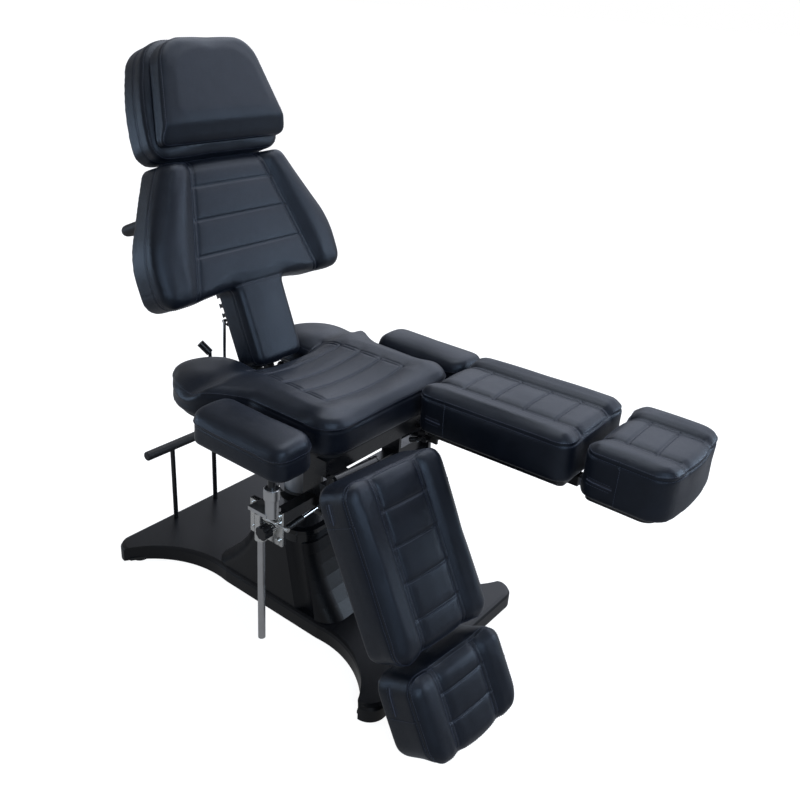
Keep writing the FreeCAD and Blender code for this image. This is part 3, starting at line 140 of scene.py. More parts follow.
def leather(name, dark, light, rough):
    """Artificial leather: fine pebble grain, soft wrinkles, a slightly uneven shine and a painted blue tint
    in its reflections and sheen.
    """
    mat, nt, shader = new_material(name)
    at = object_coords(nt)
    grain = add(nt, "TexVoronoi", {"Vector": at, "Scale": 520.0}, feature="DISTANCE_TO_EDGE")
    fine = noise(nt, at, 1500.0, 2.0)
    soft = noise(nt, at, 28.0, 4.0, 0.6)
    broad = noise(nt, at, 7.0, 2.0)
    pebbles = (grain.outputs["Distance"], 0.6, 0.0006)
    bump_chain(nt, shader, [pebbles, (fine, 0.25, 0.0004), (soft, 0.22, 0.0016)])
    fill(nt, shader, {
        "Base Color": ramp(nt, soft, dark, light),
        "Roughness": ramp(nt, broad, *rough),
        "Specular IOR Level": 0.38,
        # Painted reflection: the blue specular and sheen tints stand in for blue sky light, so every
        # highlight on the leather comes out blue.
        "Specular Tint": (0.78, 0.87, 1.0, 1),
        "Sheen Weight": 0.04,
        "Sheen Roughness": 0.4,
        "Sheen Tint": (0.45, 0.55, 0.75, 1),
    })
    return mat


def moulded(name, colour, rough, grain_scale, grain, coat=0.0, gloss=0.5):
    """Moulded plastic or foam with a fine texture and faint shine marks."""
    mat, nt, shader = new_material(name)
    at = object_coords(nt)
    fine = noise(nt, at, grain_scale, 4.0)
    smear = noise(nt, at, 9.0, 5.0, 0.65)
    bump_chain(nt, shader, [(fine, grain, 0.0004), (smear, 0.06, 0.002)])
    fill(nt, shader, {
        "Base Color": ramp(nt, smear, shaded(colour, 0.8), shaded(colour, 1.25)),
        "Roughness": ramp(nt, smear, rough * 0.82, rough * 1.15),
        "Specular IOR Level": gloss,
        "Coat Weight": coat,
        "Coat Roughness": 0.12,
    })
    return mat


def metal(name, colour, rough, brush=0.0, metallic=1.0, coat=0.0):
    """Metal with wiped smudges; brush stretches the scratches along Z."""
    mat, nt, shader = new_material(name)
    at = object_coords(nt)
    smear = noise(nt, at, 22.0, 6.0, 0.7)
    mapping = add(nt, "Mapping", {"Vector": at, "Scale": (1, 1, 0.04) if brush else (1, 1, 1)})
    scratch = noise(nt, mapping.outputs["Vector"], 1400.0 if brush else 90.0, 3.0)
    bump_chain(nt, shader, [(scratch, 0.08 + brush, 0.0002)])
    fill(nt, shader, {
        "Base Color": ramp(nt, smear, shaded(colour, 0.86), colour),
        "Roughness": ramp(nt, smear, rough * 0.75, rough * 1.35),
        "Metallic": metallic,
        "Coat Weight": coat,
        "Coat Roughness": 0.1,
    })
    return mat


mats = {
    "leather": leather("leather_black", (0.004, 0.0052, 0.009), (0.0072, 0.009, 0.0145), (0.3, 0.42)),
    # The thread's grey-blue colour is a painted highlight: black thread lightened to show light catching the
    # stitches and the zip coil.
    "thread": moulded("thread_painted_highlight", (0.04, 0.048, 0.075), 0.5, 900.0, 0.3),
    "zip": moulded("zip_tape", (0.009, 0.011, 0.02), 0.6, 1200.0, 0.4),
    "cover_plastic": moulded("cover_plastic", (0.006, 0.0064, 0.008), 0.33, 700.0, 0.14, gloss=0.3),
    "gloss_plastic": moulded("cap_plastic", (0.006, 0.007, 0.009), 0.2, 300.0, 0.03, coat=0.3, gloss=0.35),
    "handle_plastic": moulded("handle_plastic", (0.007, 0.007, 0.008), 0.38, 800.0, 0.2),
    "grip_rubber": moulded("grip_foam", (0.008, 0.008, 0.009), 0.6, 650.0, 0.5),
    "board": moulded("board_black", (0.008, 0.008, 0.009), 0.6, 300.0, 0.3),
    "silver_paint": metal("silver_paint", (0.6, 0.61, 0.63), 0.36, metallic=0.55, coat=0.2),
    "black_paint": metal("black_paint", (0.006, 0.0064, 0.008), 0.3, metallic=0.0, coat=0.1),
    "chrome": metal("chrome", (0.82, 0.83, 0.85), 0.09),
    "satin_steel": metal("satin_steel", (0.58, 0.58, 0.58), 0.34, brush=0.2),
    "zinc": metal("zinc_plate", (0.72, 0.72, 0.7), 0.26, brush=0.05),
}
for entry in frame["record"]["subparts"]:
    obj = nodes[entry["node"]]
    obj.data.materials.clear()
    obj.data.materials.append(mats[entry["material_slot"]])
for _, name in SIDES:
    nodes[name + "_arm_slider"].data.materials[0] = mats["satin_steel"]


# Outlines, as in the CAD: each point is (x, y, the way it faces in degrees, whether it bends an arc)
def corner(x, y, r, angle):
    turn = math.radians(angle)
    return (x + r * math.cos(turn), y + r * math.sin(turn))


def arc_points(x, y, r, start, end, convex=True):
    turn = 0 if convex else 180
    middle = (start + end) / 2
    return [(*corner(x, y, r, angle), angle + turn, angle == middle) for angle in (start, middle, end)]


def mirrored(points):
    """Closed outline from its half at positive x."""
    return points + [(-x, y, 180 - angle, bend) for x, y, angle, bend in reversed(points)][1:]


def line_through(start, end, step):
    """Evenly spaced places from one point to just before another, in plan or in space."""
    count = max(1, int(math.dist(start, end) / step))
    return [tuple(a + (b - a) * i / count for a, b in zip(start, end)) for i in range(count)]


def arc_through(start, middle, end, step):
    """Evenly spaced places on the circle through three points, from the first to just before the last."""
    (ax, ay), (bx, by), (cx, cy) = start, middle, end
    area = 2 * (ax * (by - cy) + bx * (cy - ay) + cx * (ay - by))
    if abs(area) < 1e-6:
        return line_through(start, end, step)
    aa, bb, cc = ax**2 + ay**2, bx**2 + by**2, cx**2 + cy**2
    x = (aa * (by - cy) + bb * (cy - ay) + cc * (ay - by)) / area
    y = (aa * (cx - bx) + bb * (ax - cx) + cc * (bx - ax)) / area
    r = math.hypot(ax - x, ay - y)
    first = math.atan2(ay - y, ax - x)
    to_middle = (math.atan2(by - y, bx - x) - first) % math.tau
    turn = (math.atan2(cy - y, cx - x) - first) % math.tau
    if to_middle > turn:
        turn -= math.tau
    count = max(2, int(abs(turn) * r / step))
    angles = [first + turn * i / count for i in range(count)]
    return [(x + r * math.cos(angle), y + r * math.sin(angle)) for angle in angles]


def contour(points, inset, step=4):
    """Closed list of places along an outline moved inward."""
    out = []
    here = None
    middle = None
    for x, y, angle, bend in points:
        place = corner(x, y, -inset, angle)
        if bend:
            middle = place
            continue
        if here is not None and math.dist(place, here) > 0.05:
            out += arc_through(here, middle, place, step) if middle else line_through(here, place, step)
        here = place
        middle = None
    return out


def rectangle(x0, x1, y0, y1, r, own_r=None):
    """Rounded rectangle; the corner at x0, y0 may have a radius of its own."""
    own_r = own_r or r
    points = [((x0 + x1) / 2, y0, -90, False)]
    points += arc_points(x1 - r, y0 + r, r, -90, 0)
    points += arc_points(x1 - r, y1 - r, r, 0, 90)
    points += arc_points(x0 + r, y1 - r, r, 90, 180)
    points += arc_points(x0 + own_r, y0 + own_r, own_r, 180, 270)
    return points + [points[0]]


def seat_points():
    """Square front, a waist, round lobes behind it and the notch for the stem."""
    half, lobe, notch = 225, 290, 84
    front, notch_y, rear = -289, 62, 262
    front_r, notch_r = 55, 20
    flare = lobe - half
    points = [(0, front, -90, False)]
    points += arc_points(half - front_r, front + front_r, front_r, -90, 0)
    points += [
        (half, -45, 0, False),
        (half + flare * 0.32, 0, -18, True),
        (half + flare * 0.66, 35, -33, False),
        (lobe - 5, 61, -19, True),
        (lobe, 88, 0, False),
        (lobe - 12, 152, 11, True),
        (lobe - 49, 200, 32, False),
        (lobe - 84, 244, 60, True),
        (lobe - 126, rear, 90, False),
        (notch + 36, 243, 128, True),
        (notch + 8, 205, 155, False),
        (notch + 2, 185, 168, True),
        (notch, 165, 180, False),
    ]
    points += arc_points(notch - notch_r, notch_y + notch_r, notch_r, 0, -90, False)
    return mirrored(points + [(0, notch_y, 90, False)])


def back_points():
    """Back and stem cover in one outline, with a small fillet where the stem starts."""
    shoulder, foot, low, stem_end = 345, 239.5, 221, 34
    bend_r, peak_r, lobe_r, stem_r, fillet = 200, 24, 36, 18, 14
    sag, dip = 2, 6
    slope = math.degrees(math.atan((BACK_HALF - BACK_PEAK_HALF) / (BACK_PEAK - shoulder)))
    turn = math.radians(slope)
    run = bend_r * math.tan(turn / 2)
    cx = BACK_HALF - (peak_r + (BACK_PEAK - peak_r - shoulder) * math.sin(turn)) / math.cos(turn)
    points = [(0, stem_end, -90, False)]
    points += arc_points(STEM_HALF - stem_r, stem_end + stem_r, stem_r, -90, 0)
    points += arc_points(STEM_HALF + fillet, foot - dip - fillet, fillet, 180, 90, False)
    points += [(BACK_HALF * 0.5, (foot + low) / 2 - sag, -99, True), (BACK_HALF * 0.68, low, -92, False)]
    points += arc_points(BACK_HALF - lobe_r, low + lobe_r, lobe_r, -90, 0)
    points += arc_points(BACK_HALF - bend_r, shoulder - run, bend_r, 0, slope)
    points += arc_points(cx, BACK_PEAK - peak_r, peak_r, slope, 90)
    return mirrored(points + [(0, BACK_PEAK, 90, False)])


def head_points():
    """Headrest: small lower corners and wide shoulders, with a light bulge between them."""
    peak_half, bottom, peak = 152, 548, 815
    low_r, high_r, lean = 38, 82, 15
    cx = peak_half + (HEAD_HALF - peak_half) * 0.05 - high_r * math.cos(math.radians(lean))
    bend_x, bend_y = corner(cx, peak - high_r, high_r, lean)
    points = [(0, bottom, -90, False)]
    points += arc_points(HEAD_HALF - low_r, bottom + low_r, low_r, -90, 0)
    points += [(HEAD_HALF - (HEAD_HALF - bend_x) * 0.3, (bottom + low_r + bend_y) / 2, 8, True)]
    points += arc_points(cx, peak - high_r, high_r, lean, 90)
    return mirrored(points + [(0, peak, 90, False)])


def pillow_points():
    half, peak_half, low, peak, low_r = 187, 145, 572, 800, 14
    high_r = (peak - PILLOW_CREASE) * 0.37
    lean = math.degrees(math.atan((half - peak_half) / (peak - low - high_r - low_r)))
    cx = peak_half - high_r * math.cos(math.radians(lean))
    points = [(0, low, -90, False)]
    points += arc_points(half - low_r, low + low_r, low_r, -90, lean)
    points += arc_points(cx, peak - high_r, high_r, lean, 90)
    return mirrored(points + [(0, peak, 90, False)])


def arm_points(side):
    """Arm pad; its front inner corner is the rounder one, so that it swings past the seat."""
    points = rectangle(255, 371, -285, -10, 30, 46)
    if side < 0:
        points = [(-x, y, 180 - angle, bend) for x, y, angle, bend in reversed(points)]
    return points


def foot_points():
    """Foot pad with a gently curved front end."""
    front_r, rear_r, bulge = 45, 32, 10
    turn = math.radians(bulge)
    swing = (FOOT_HALF - front_r + front_r * math.sin(turn)) / math.sin(turn)
    cy = FOOT_FRONT + swing * (1 - math.cos(turn)) + front_r * math.cos(turn)
    middle = -90 + bulge / 2
    points = [(0, FOOT_FRONT, -90, False), (*corner(0, FOOT_FRONT + swing, swing, middle), middle, True)]
    points += arc_points(FOOT_HALF - front_r, cy, front_r, -90 + bulge, 0)
    points += arc_points(FOOT_HALF - rear_r, FOOT_REAR - rear_r, rear_r, 0, 90)
    return mirrored(points + [(0, FOOT_REAR, 90, False)])


# Meshes
def mesh_of(name, verts, faces):
    mesh = bpy.data.meshes.new(name)
    mesh.from_pydata(verts, [], faces)
    mesh.update()
    obj = bpy.data.objects.new(name, mesh)
    scene.collection.objects.link(obj)
    return obj


def copy_of(obj, name):
    made = bpy.data.objects.new(name, obj.data.copy())
    scene.collection.objects.link(made)
    return made


def shade_smooth(obj):
    for poly in obj.data.polygons:
        poly.use_smooth = True


def coords(obj):
    flat = np.empty(len(obj.data.vertices) * 3, np.float64)
    obj.data.vertices.foreach_get("co", flat)
    return flat.reshape(-1, 3)


def set_coords(obj, places):
    obj.data.vertices.foreach_set("co", places.astype(np.float32).ravel())
    obj.data.update()


def vertex_normals(obj):
    flat = np.empty(len(obj.data.vertices) * 3, np.float32)
    obj.data.vertex_normals.foreach_get("vector", flat)
    return flat.reshape(-1, 3).astype(float)


def apply_all(obj):
    graph = bpy.context.evaluated_depsgraph_get()
    mesh = bpy.data.meshes.new_from_object(obj.evaluated_get(graph))
    obj.modifiers.clear()
    old = obj.data
    obj.data = mesh
    bpy.data.meshes.remove(old)


# Forms over a distance
def smooth_step(x):
    x = np.clip(x, 0, 1)
    return x * x * (3 - 2 * x)


def hill(away, height, width):
    return height * np.exp(-((away / width) ** 2))


def crown_across(half, rise, centre=0):
    """Crown that is level with the pad's top in the middle and falls by its rise to the sides."""
    def crown(x, y):
        return rise * (1 - np.minimum(((x - centre) / half) ** 2, 1)) - rise

    return crown


def smooth_profile(knots):
    """Height over the distance from the middle, eased from knot to knot."""
    def height(x):
        x = np.abs(x)
        out = np.full(np.shape(x), float(knots[-1][1]))
        for (a, low), (b, high) in zip(knots[:-1], knots[1:]):
            inside = (x >= a) & (x < b)
            out = np.where(inside, low + (high - low) * smooth_step((x - a) / (b - a)), out)
        return out

    return height


def height_at(z, x, y):
    """A seam's height, which is one number or a function of the place in plan."""
    return z(x, y) if callable(z) else z


# Pads
CLOTH_FRAMES = 14
PRESSURE = 4
PINNED_HEIGHT = 7
EVEN_ROUNDS = 24
RING_COUNT = 220
ROLL_ANGLES = (0, 30, 55, 75, 90)


def resample(points, count):
    """Evenly spaced places round a closed line."""
    line = np.array(points + [points[0]])
    run = np.concatenate([[0], np.cumsum(np.linalg.norm(np.diff(line, axis=0), axis=1))])
    at = np.linspace(0, run[-1], count, endpoint=False)
    return np.stack([np.interp(at, run, line[:, i]) for i in range(2)], axis=1)


def edge_levels(low, top, roll, skirt):
    """Heights and insets of a pad's rings: a skirt round its board, its side and its rolled edge."""
    foot = low - skirt
    levels = [(low, 12), (foot, 11)] if skirt else []
    levels += [(foot, 5), (foot + 6, 0), (low + (top - low) * 0.5, 2)]
    for angle in ROLL_ANGLES:
        turn = math.radians(angle)
        levels.append((top - roll * (1 - math.sin(turn)), roll * (1 - math.cos(turn))))
    return levels


def ring_mesh(name, points, levels, grow):
    """Closed mesh over rings of an outline, grown by a little."""
    verts = []
    for z, inset in levels:
        ring = resample(contour(points, inset - grow), RING_COUNT)
        verts += [(x * MM, y * MM, z * MM) for x, y in ring]
    faces = []
    last = len(levels) - 1
    for start in range(0, last * RING_COUNT, RING_COUNT):
        above = start + RING_COUNT
        for i in range(RING_COUNT):
            j = (i + 1) % RING_COUNT
            faces.append((start + i, start + j, above + j, above + i))
    faces.append(tuple(reversed(range(RING_COUNT))))
    faces.append(tuple(range(last * RING_COUNT, (last + 1) * RING_COUNT)))
    return mesh_of(name, verts, faces)


def even_out(obj, values):
    """Average a value per vertex with its neighbours' values, several times."""
    edges = np.empty(len(obj.data.edges) * 2, np.int64)
    obj.data.edges.foreach_get("vertices", edges)
    a, b = edges.reshape(-1, 2).T
    size = len(values)
    count = np.maximum(np.bincount(a, minlength=size) + np.bincount(b, minlength=size), 1)
    for _ in range(EVEN_ROUNDS):
        near = np.empty_like(values)
        for axis in range(values.shape[1]):
            near[:, axis] = np.bincount(a, values[b, axis], size) + np.bincount(b, values[a, axis], size)
        values = 0.4 * values + 0.6 * near / count[:, None]
    return values


def puff(obj, low, cap):
    """Blow the pad up with cloth pressure from its fixed underside, then even out and cap the movement."""
    start = coords(obj)
    group = obj.vertex_groups.new(name="pin")
    fixed = np.nonzero(start[:, 2] < (low + PINNED_HEIGHT) * MM)[0]
    group.add(fixed.tolist(), 1.0, "REPLACE")
    cloth = obj.modifiers.new("cloth", "CLOTH").settings
    cloth.quality = 4
    cloth.mass = 0.4
    cloth.tension_stiffness = 40
    cloth.compression_stiffness = 40
    cloth.shear_stiffness = 20
    cloth.bending_stiffness = 10
    cloth.use_pressure = True
    cloth.uniform_pressure_force = PRESSURE
    cloth.vertex_group_mass = "pin"
    cloth.effector_weights.gravity = 0
    for number in range(1, CLOTH_FRAMES + 1):
        scene.frame_set(number)
    apply_all(obj)
    scene.frame_set(1)
    move = even_out(obj, coords(obj) - start)
    far = np.linalg.norm(move, axis=1)
    scale = np.minimum(1, cap * MM / np.maximum(far, 1e-9))
    set_coords(obj, start + move * scale[:, None])
    obj.vertex_groups.clear()


def cushion(name, points, low, top, crown, voxel=6, cap=5, roll=19, grow=2, skirt=0, shape=None):
    """Closed pad with rolled edges over an outline, remeshed, blown up and subdivided."""
    obj = ring_mesh(name, points, edge_levels(low, top, roll, skirt), grow)
    remesh = obj.modifiers.new("remesh", "REMESH")
    remesh.mode = "VOXEL"
    remesh.voxel_size = voxel * MM
    apply_all(obj)
    places = coords(obj)
    rise = smooth_step((places[:, 2] / MM - low) / (top - low))
    places[:, 2] += crown(places[:, 0] / MM, places[:, 1] / MM) * MM * rise
    if shape is not None:
        places = shape(places / MM) * MM
    set_coords(obj, places)
    puff(obj, low, cap)
    smooth = obj.modifiers.new("smooth", "SMOOTH")
    smooth.factor = 0.5
    smooth.iterations = 4
    subdivide = obj.modifiers.new("subdivide", "SUBSURF")
    subdivide.levels = 1
    apply_all(obj)
    places = coords(obj)
    places[:, 2] = np.maximum(places[:, 2], (low - skirt + 0.2) * MM)
    set_coords(obj, places)
    shade_smooth(obj)
    return obj


# Seams; a kind is (groove depth, groove width, valley depth, valley width)
SEAM = (3.6, 2.3, 1.3, 12)
DOUBLE = (2.8, 2.0, 0.8, 10)
JOIN = (2.0, 2.4, 0.8, 10)
CHANNEL = (3.2, 3.0, 2.6, 16)
HALF_GAP = 5
BESIDE_SEAM = 4
RIDGE_ABOVE = 6
RIDGE_WIDTH = 3.5


def distance_to(places, run):
    """Distance from places to a run of straight stretches, in plan or in space."""
    best = np.full(len(places), 1e9)
    for start, end in zip(run[:-1], run[1:]):
        start = np.array(start, float)
        along = np.array(end, float) - start
        share = np.clip(((places - start) @ along) / (along @ along), 0, 1)
        best = np.minimum(best, np.linalg.norm(places - (start + share[:, None] * along), axis=1))
    return best


def press_in(obj, places, normals, push):
    set_coords(obj, (places - normals * push[:, None]) * MM)


def sew(obj, seams):
    """Press seams, each as (points, *kind), into the upper face."""
    places = coords(obj) / MM
    normals = vertex_normals(obj)
    upper = smooth_step((normals[:, 2] - 0.25) / 0.3)
    push = np.zeros(len(places))
    for points, depth, width, valley, reach in seams:
        away = distance_to(places[:, :2], points)
        push = np.maximum(push, hill(away, valley, reach) + hill(away, depth, width))
    press_in(obj, places, normals, push * upper)


def band_seam(obj, z, depth=1.8, width=3.2, ridge=0.9):
    """Seam round the side of a pad at its height, with a small ridge above it."""
    places = coords(obj) / MM
    normals = vertex_normals(obj)
    side = smooth_step(1.4 - np.abs(normals[:, 2]) * 1.6)
    away = places[:, 2] - height_at(z, places[:, 0], places[:, 1])
    push = hill(away, depth, width) - hill(away - RIDGE_ABOVE, ridge, RIDGE_WIDTH)
    press_in(obj, places, normals, push * side)


def sew_side(obj, points, depth, width):
    """Groove along a run on the pad's side, given in space."""
    places = coords(obj) / MM
    press_in(obj, places, vertex_normals(obj), hill(distance_to(places, points), depth, width))


def offset_line(start, end, shift):
    """A straight run moved square to itself."""
    dx, dy = end[0] - start[0], end[1] - start[1]
    length = math.hypot(dx, dy)
    nx, ny = -dy / length * shift, dx / length * shift
    return [(start[0] + nx, start[1] + ny), (end[0] + nx, end[1] + ny)]


def beside(points, shift):
    """The same run moved sideways in plan."""
    if points[0][0] == points[-1][0] or len(points) > 2:
        return [(x + shift, y) for x, y in points]
    return offset_line(*points, shift)


def single(lines, kind=SEAM):
    return [(line, *kind) for line in lines]


def double(lines):
    """Two grooves with a raised strip between them, for each line."""
    return [(beside(line, shift), *DOUBLE) for line in lines for shift in (-HALF_GAP, HALF_GAP)]


def on_both_sides(points):
    """A run and its mirror image, the right one first."""
    return [[(side * x, y) for x, y in points] for side in (-1, 1)]


# Stitches, tabs and zips
STITCH_LENGTH = 4.2
STITCH_GAP = 1.4
STITCH_HALF = 0.7
STITCH_LIFTS = (0.05, 0.55, 0.05)
STITCH_WIDTH_SHARES = (0.45, 1.0, 0.45)
CAST_HEIGHT = 700


def sample_line(points, step=4):
    """Evenly spaced places along a run of straight stretches, with its end."""
    out = []
    for start, end in zip(points[:-1], points[1:]):
        out += line_through(start, end, step)
    return out + [points[-1]]


def tree_of(obj):
    return BVHTree.FromPolygons([v.co for v in obj.data.vertices], [p.vertices for p in obj.data.polygons])


def drop_on(obj, points):
    """Points in plan carried down on to the pad's upper face, with the face's normals."""
    tree = tree_of(obj)
    out = []
    for x, y in sample_line(points):
        hit, normal, _, _ = tree.ray_cast(Vector((x * MM, y * MM, CAST_HEIGHT * MM)), Vector((0, 0, -1)))
        if hit is not None:
            out.append((hit, normal))
    return out


def press_on(obj, points):
    """Places in space moved to the nearest point of the pad, with its normals."""
    tree = tree_of(obj)
    out = []
    for point in points:
        hit, normal, _, _ = tree.find_nearest(Vector([c * MM for c in point]))
        out.append((hit, normal))
    return out


def ring_on(obj, points, z):
    """Closed run on a pad's side at its height."""
    line = contour(points, 0)
    return press_on(obj, [(x, y, height_at(z, x, y)) for x, y in line + [line[0]]])


def single_rows(obj, lines):
    return [drop_on(obj, offset_line(*line, -BESIDE_SEAM)) for line in lines]


def double_rows(obj, lines):
    return [drop_on(obj, beside(line, shift)) for line in lines for shift in (-HALF_GAP, HALF_GAP)]


def stitch_mesh(name, rows):
    """Rows of sunk thread stitches along runs of (place, normal)."""
    verts = []
    faces = []
    for row in rows:
        places = np.array([tuple(p) for p, _ in row])
        normals = np.array([tuple(n) for _, n in row])
        run = np.concatenate([[0], np.cumsum(np.linalg.norm(np.diff(places, axis=0), axis=1))]) / MM
        at = 0.0
        while at + STITCH_LENGTH < run[-1]:
            ends = []
            for reach in (at, at + STITCH_LENGTH / 2, at + STITCH_LENGTH):
                place = np.array([np.interp(reach, run, places[:, i]) for i in range(3)])
                normal = np.array([np.interp(reach, run, normals[:, i]) for i in range(3)])
                ends.append((place, normal / np.linalg.norm(normal)))
            along = ends[2][0] - ends[0][0]
            along /= max(np.linalg.norm(along), 1e-9)
            side = np.cross(ends[1][1], along)
            base = len(verts)
            for (place, normal), lift, share in zip(ends, STITCH_LIFTS, STITCH_WIDTH_SHARES):
                half = STITCH_HALF * MM * share
                centre = place + normal * lift * MM
                verts += [tuple(centre + side * half), tuple(centre + normal * half * 0.9),
                          tuple(centre - side * half), tuple(centre - normal * half * 0.6)]
            for low in (base, base + 4):
                for i in range(4):
                    j = (i + 1) % 4
                    faces.append((low + i, low + j, low + 4 + j, low + 4 + i))
            faces.append((base + 3, base + 2, base + 1, base))
            faces.append((base + 8, base + 9, base + 10, base + 11))
            at += STITCH_LENGTH + STITCH_GAP
    obj = mesh_of(name, verts, faces)
    obj.data.materials.append(mats["thread"])
    return obj


def ribbon(name, run, half, lift, mat):
    """Narrow strip lying along a run of (place, normal), with a rounded middle."""
    profile = ((-1, -0.3), (-0.55, 0.8), (0, 1), (0.55, 0.8), (1, -0.3))
    width = len(profile)
    verts = []
    faces = []
    for k, (place, normal) in enumerate(run):
        ahead = run[min(k + 1, len(run) - 1)][0] - run[max(k - 1, 0)][0]
        side = normal.cross(ahead).normalized()
        for across, up in profile:
            verts.append(tuple(place + side * across * half * MM + normal * lift * up * MM))
    for k in range(len(run) - 1):
        for i in range(k * width, k * width + width - 1):
            faces.append((i, i + 1, i + width + 1, i + width))
    obj = mesh_of(name, verts, faces)
    obj.data.materials.append(mats[mat])
    shade_smooth(obj)
    return obj


def zip_pieces(name, obj, start, end):
    """Zip tape and its row of teeth along a run on the pad's side, and the rows of stitches beside them."""
    run = press_on(obj, sample_line([start, end]))
    pieces = [ribbon(name + "_tape", run, 6.5, 0.5, "zip"), ribbon(name + "_coil", run, 1.6, 1.9, "thread")]
    rows = []
    for shift in (-8, 8):
        ends = [(x, y, z + shift) for x, y, z in (start, end)]
        rows.append(press_on(obj, sample_line(ends)))
    return rows, pieces


def tab_piece(name, obj, place):
    """Small folded leather tab sewn over the end of a side seam."""
    x, y, z = place
    run = press_on(obj, sample_line([(x, y, z - 7), (x, y, z + 8)], 1.5))
    return ribbon(name, run, 2.6, 1.5, "leather")


def side_details(obj, name, half, seam_y, end_y, seam_z, low):
    """Upright seams with tabs on both sides, and the zip on the chair's right side."""
    rows = []
    pieces = []
    for side, letter in ((-1, "a"), (1, "b")):
        x = side * half
        sew_side(obj, [(x, seam_y, low + 4), (x, seam_y, seam_z)], 1.6, 2.4)
        stitches = [(x, seam_y - BESIDE_SEAM, low + 4), (x, seam_y - BESIDE_SEAM, seam_z - 3)]
        rows.append(press_on(obj, sample_line(stitches)))
        pieces.append(tab_piece(name + "_tab_" + letter, obj, (x, seam_y, seam_z)))
    z = low + (seam_z - low) * 0.42
    start, end = (-half, end_y, z), (-half, seam_y + BESIDE_SEAM, z)
    sew_side(obj, [start, end], 1.2, 9)
    zip_rows, parts = zip_pieces(name + "_zip", obj, start, end)
    return rows + zip_rows, pieces + parts


def finish_cushion(obj, body, covered, place, rows, extra=()):
    """Leather, stitches, placing in the chair's frame, the body it rides on and the solids it stands for."""
    obj.data.materials.clear()
    obj.data.materials.append(mats["leather"])
    thread = stitch_mesh(obj.name + "_stitches", rows)
    for piece in (obj, thread, *extra):
        piece.data.transform(place)
        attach(piece, body)
    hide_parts(*covered)


# Places in the chair's frame
def frame_matrix(origin, angle_x, angle_z=0.0):
    turn = Matrix.Rotation(math.radians(angle_z), 4, "Z") @ Matrix.Rotation(math.radians(angle_x), 4, "X")
    return Matrix.Translation([c * MM for c in origin]) @ turn


def leg_matrix(side, name):
    pitch, spread, _ = LEG_ANGLES[name]
    yoke = frame_matrix((side * LEG_CENTRE, TUBE_Y, 0), 0, spread)
    return yoke @ frame_matrix((0, LEG_HINGE[0] - TUBE_Y, LEG_HINGE[1]), -pitch)


def foot_matrix(side, name):
    return leg_matrix(side, name) @ frame_matrix((0, FOOT_HINGE_Y, 0), -LEG_ANGLES[name][2])


LEVEL = Matrix.Identity(4)
BACK = frame_matrix(HINGE, 90 - RECLINE)


# Cushions
def make_seat():
    points = seat_points()
    channel_ys = (-195, -125, -60, 5, 68)

    def behind(y):
        """Share of the way from the waist to the rear edge."""
        return np.clip((y - 40) / 222, 0, 1)

    def crown(x, y):
        hollow = -12 * (1 - np.minimum(np.abs(x) / 130, 1) ** 2)
        bolster = hill(np.abs(x) - 190, 6, 38) * smooth_step((110 - y) / 90)
        front = hill(y + 235, 4, 26)
        from_lobe = np.hypot(np.abs(x) - 178, y - 148)
        dome = 26 * np.clip((from_lobe - 25) / 90, 0, 1) ** 2 * smooth_step((y - 30) / 70)
        fall = 14 * behind(y) + dome
        return hollow * smooth_step((90 - y) / 60) * smooth_step((y + 275) / 70) + bolster + front - fall - 2

    def half(y):
        return 129 + (70 - y) * 0.03

    def rim(x, y):
        return SEAT_TOP - 22 - 18 * behind(y)

    def above_rim(x, y):
        return rim(x, y) + 6

    obj = cushion("seat_pad", points, SEAT_LOW, SEAT_TOP, crown, roll=22, grow=3)
    lines = [[(-half(y), y), (half(y), y)] for y in channel_ys]
    sides = on_both_sides([(half(y), y) for y in (channel_ys[0], channel_ys[-1])])
    sew(obj, single(lines, CHANNEL) + double(sides))
    band_seam(obj, rim)
    shifts = (-BESIDE_SEAM, BESIDE_SEAM)
    rows = [drop_on(obj, offset_line(*line, shift)) for line in lines for shift in shifts]
    rows += double_rows(obj, sides)
    rows.append(ring_on(obj, points, above_rim))
    finish_cushion(obj, "turret", ("seat_cushion",), LEVEL, rows)


def make_back():
    points = back_points()
    bolster = smooth_profile([(0, -4), (0.42, 10), (0.7, 12), (1.02, 5)])
    stem_crown = crown_across(STEM_HALF, 3)
    seam_top, seam_foot = (108, 527), (188, 254)

    def crown(x, y):
        seam_x = np.interp(y, (214, 254, 527), (197, 188, 108))
        edge_x = np.interp(y, (219, 320, 370, BACK_PEAK), (BACK_HALF, BACK_HALF, 275, BACK_PEAK_HALF))
        share = (np.abs(x) - seam_x) / (edge_x - seam_x)
        wide = np.where(share < 0, -1 - 3 * (x / seam_x) ** 2, bolster(np.maximum(share, 0)))
        blend = smooth_step((y - 190) / 70)
        return wide * blend + stem_crown(x, y) * (1 - blend)

    def reach(y):
        """Half the width between the side seams."""
        share = (seam_top[0] - seam_foot[0]) * (y - seam_foot[1]) / (seam_top[1] - seam_foot[1])
        return seam_foot[0] + share

    obj = cushion("back_pad", points, BACK_LOW, BACK_TOP, crown, cap=6, roll=16, grow=3, skirt=10)
    lines = [[(-reach(y), y), (reach(y), y)] for y in (320, 402, 478)]
    sides = on_both_sides([(seam_foot[0] + 9, 214), seam_foot, seam_top, (seam_top[0] - 5, 545)])
    join = [(-78, 236), (78, 236)]
    sew(obj, single(lines) + double(sides) + single([join], JOIN))
    band_seam(obj, BACK_TOP - 30)
    rows = single_rows(obj, [*lines, join]) + double_rows(obj, sides)
    rows.append(ring_on(obj, points, BACK_TOP - 24))
    for side in (-1, 1):
        x = side * (BACK_HALF - 1)
        sew_side(obj, [(x, 265, 8), (x, 265, 52)], 1.4, 2.4)
        rows.append(press_on(obj, sample_line([(x, 269, 8), (x, 269, 50)])))
    finish_cushion(obj, "back", ("back_cushion", "stem_cushion"), BACK, rows)


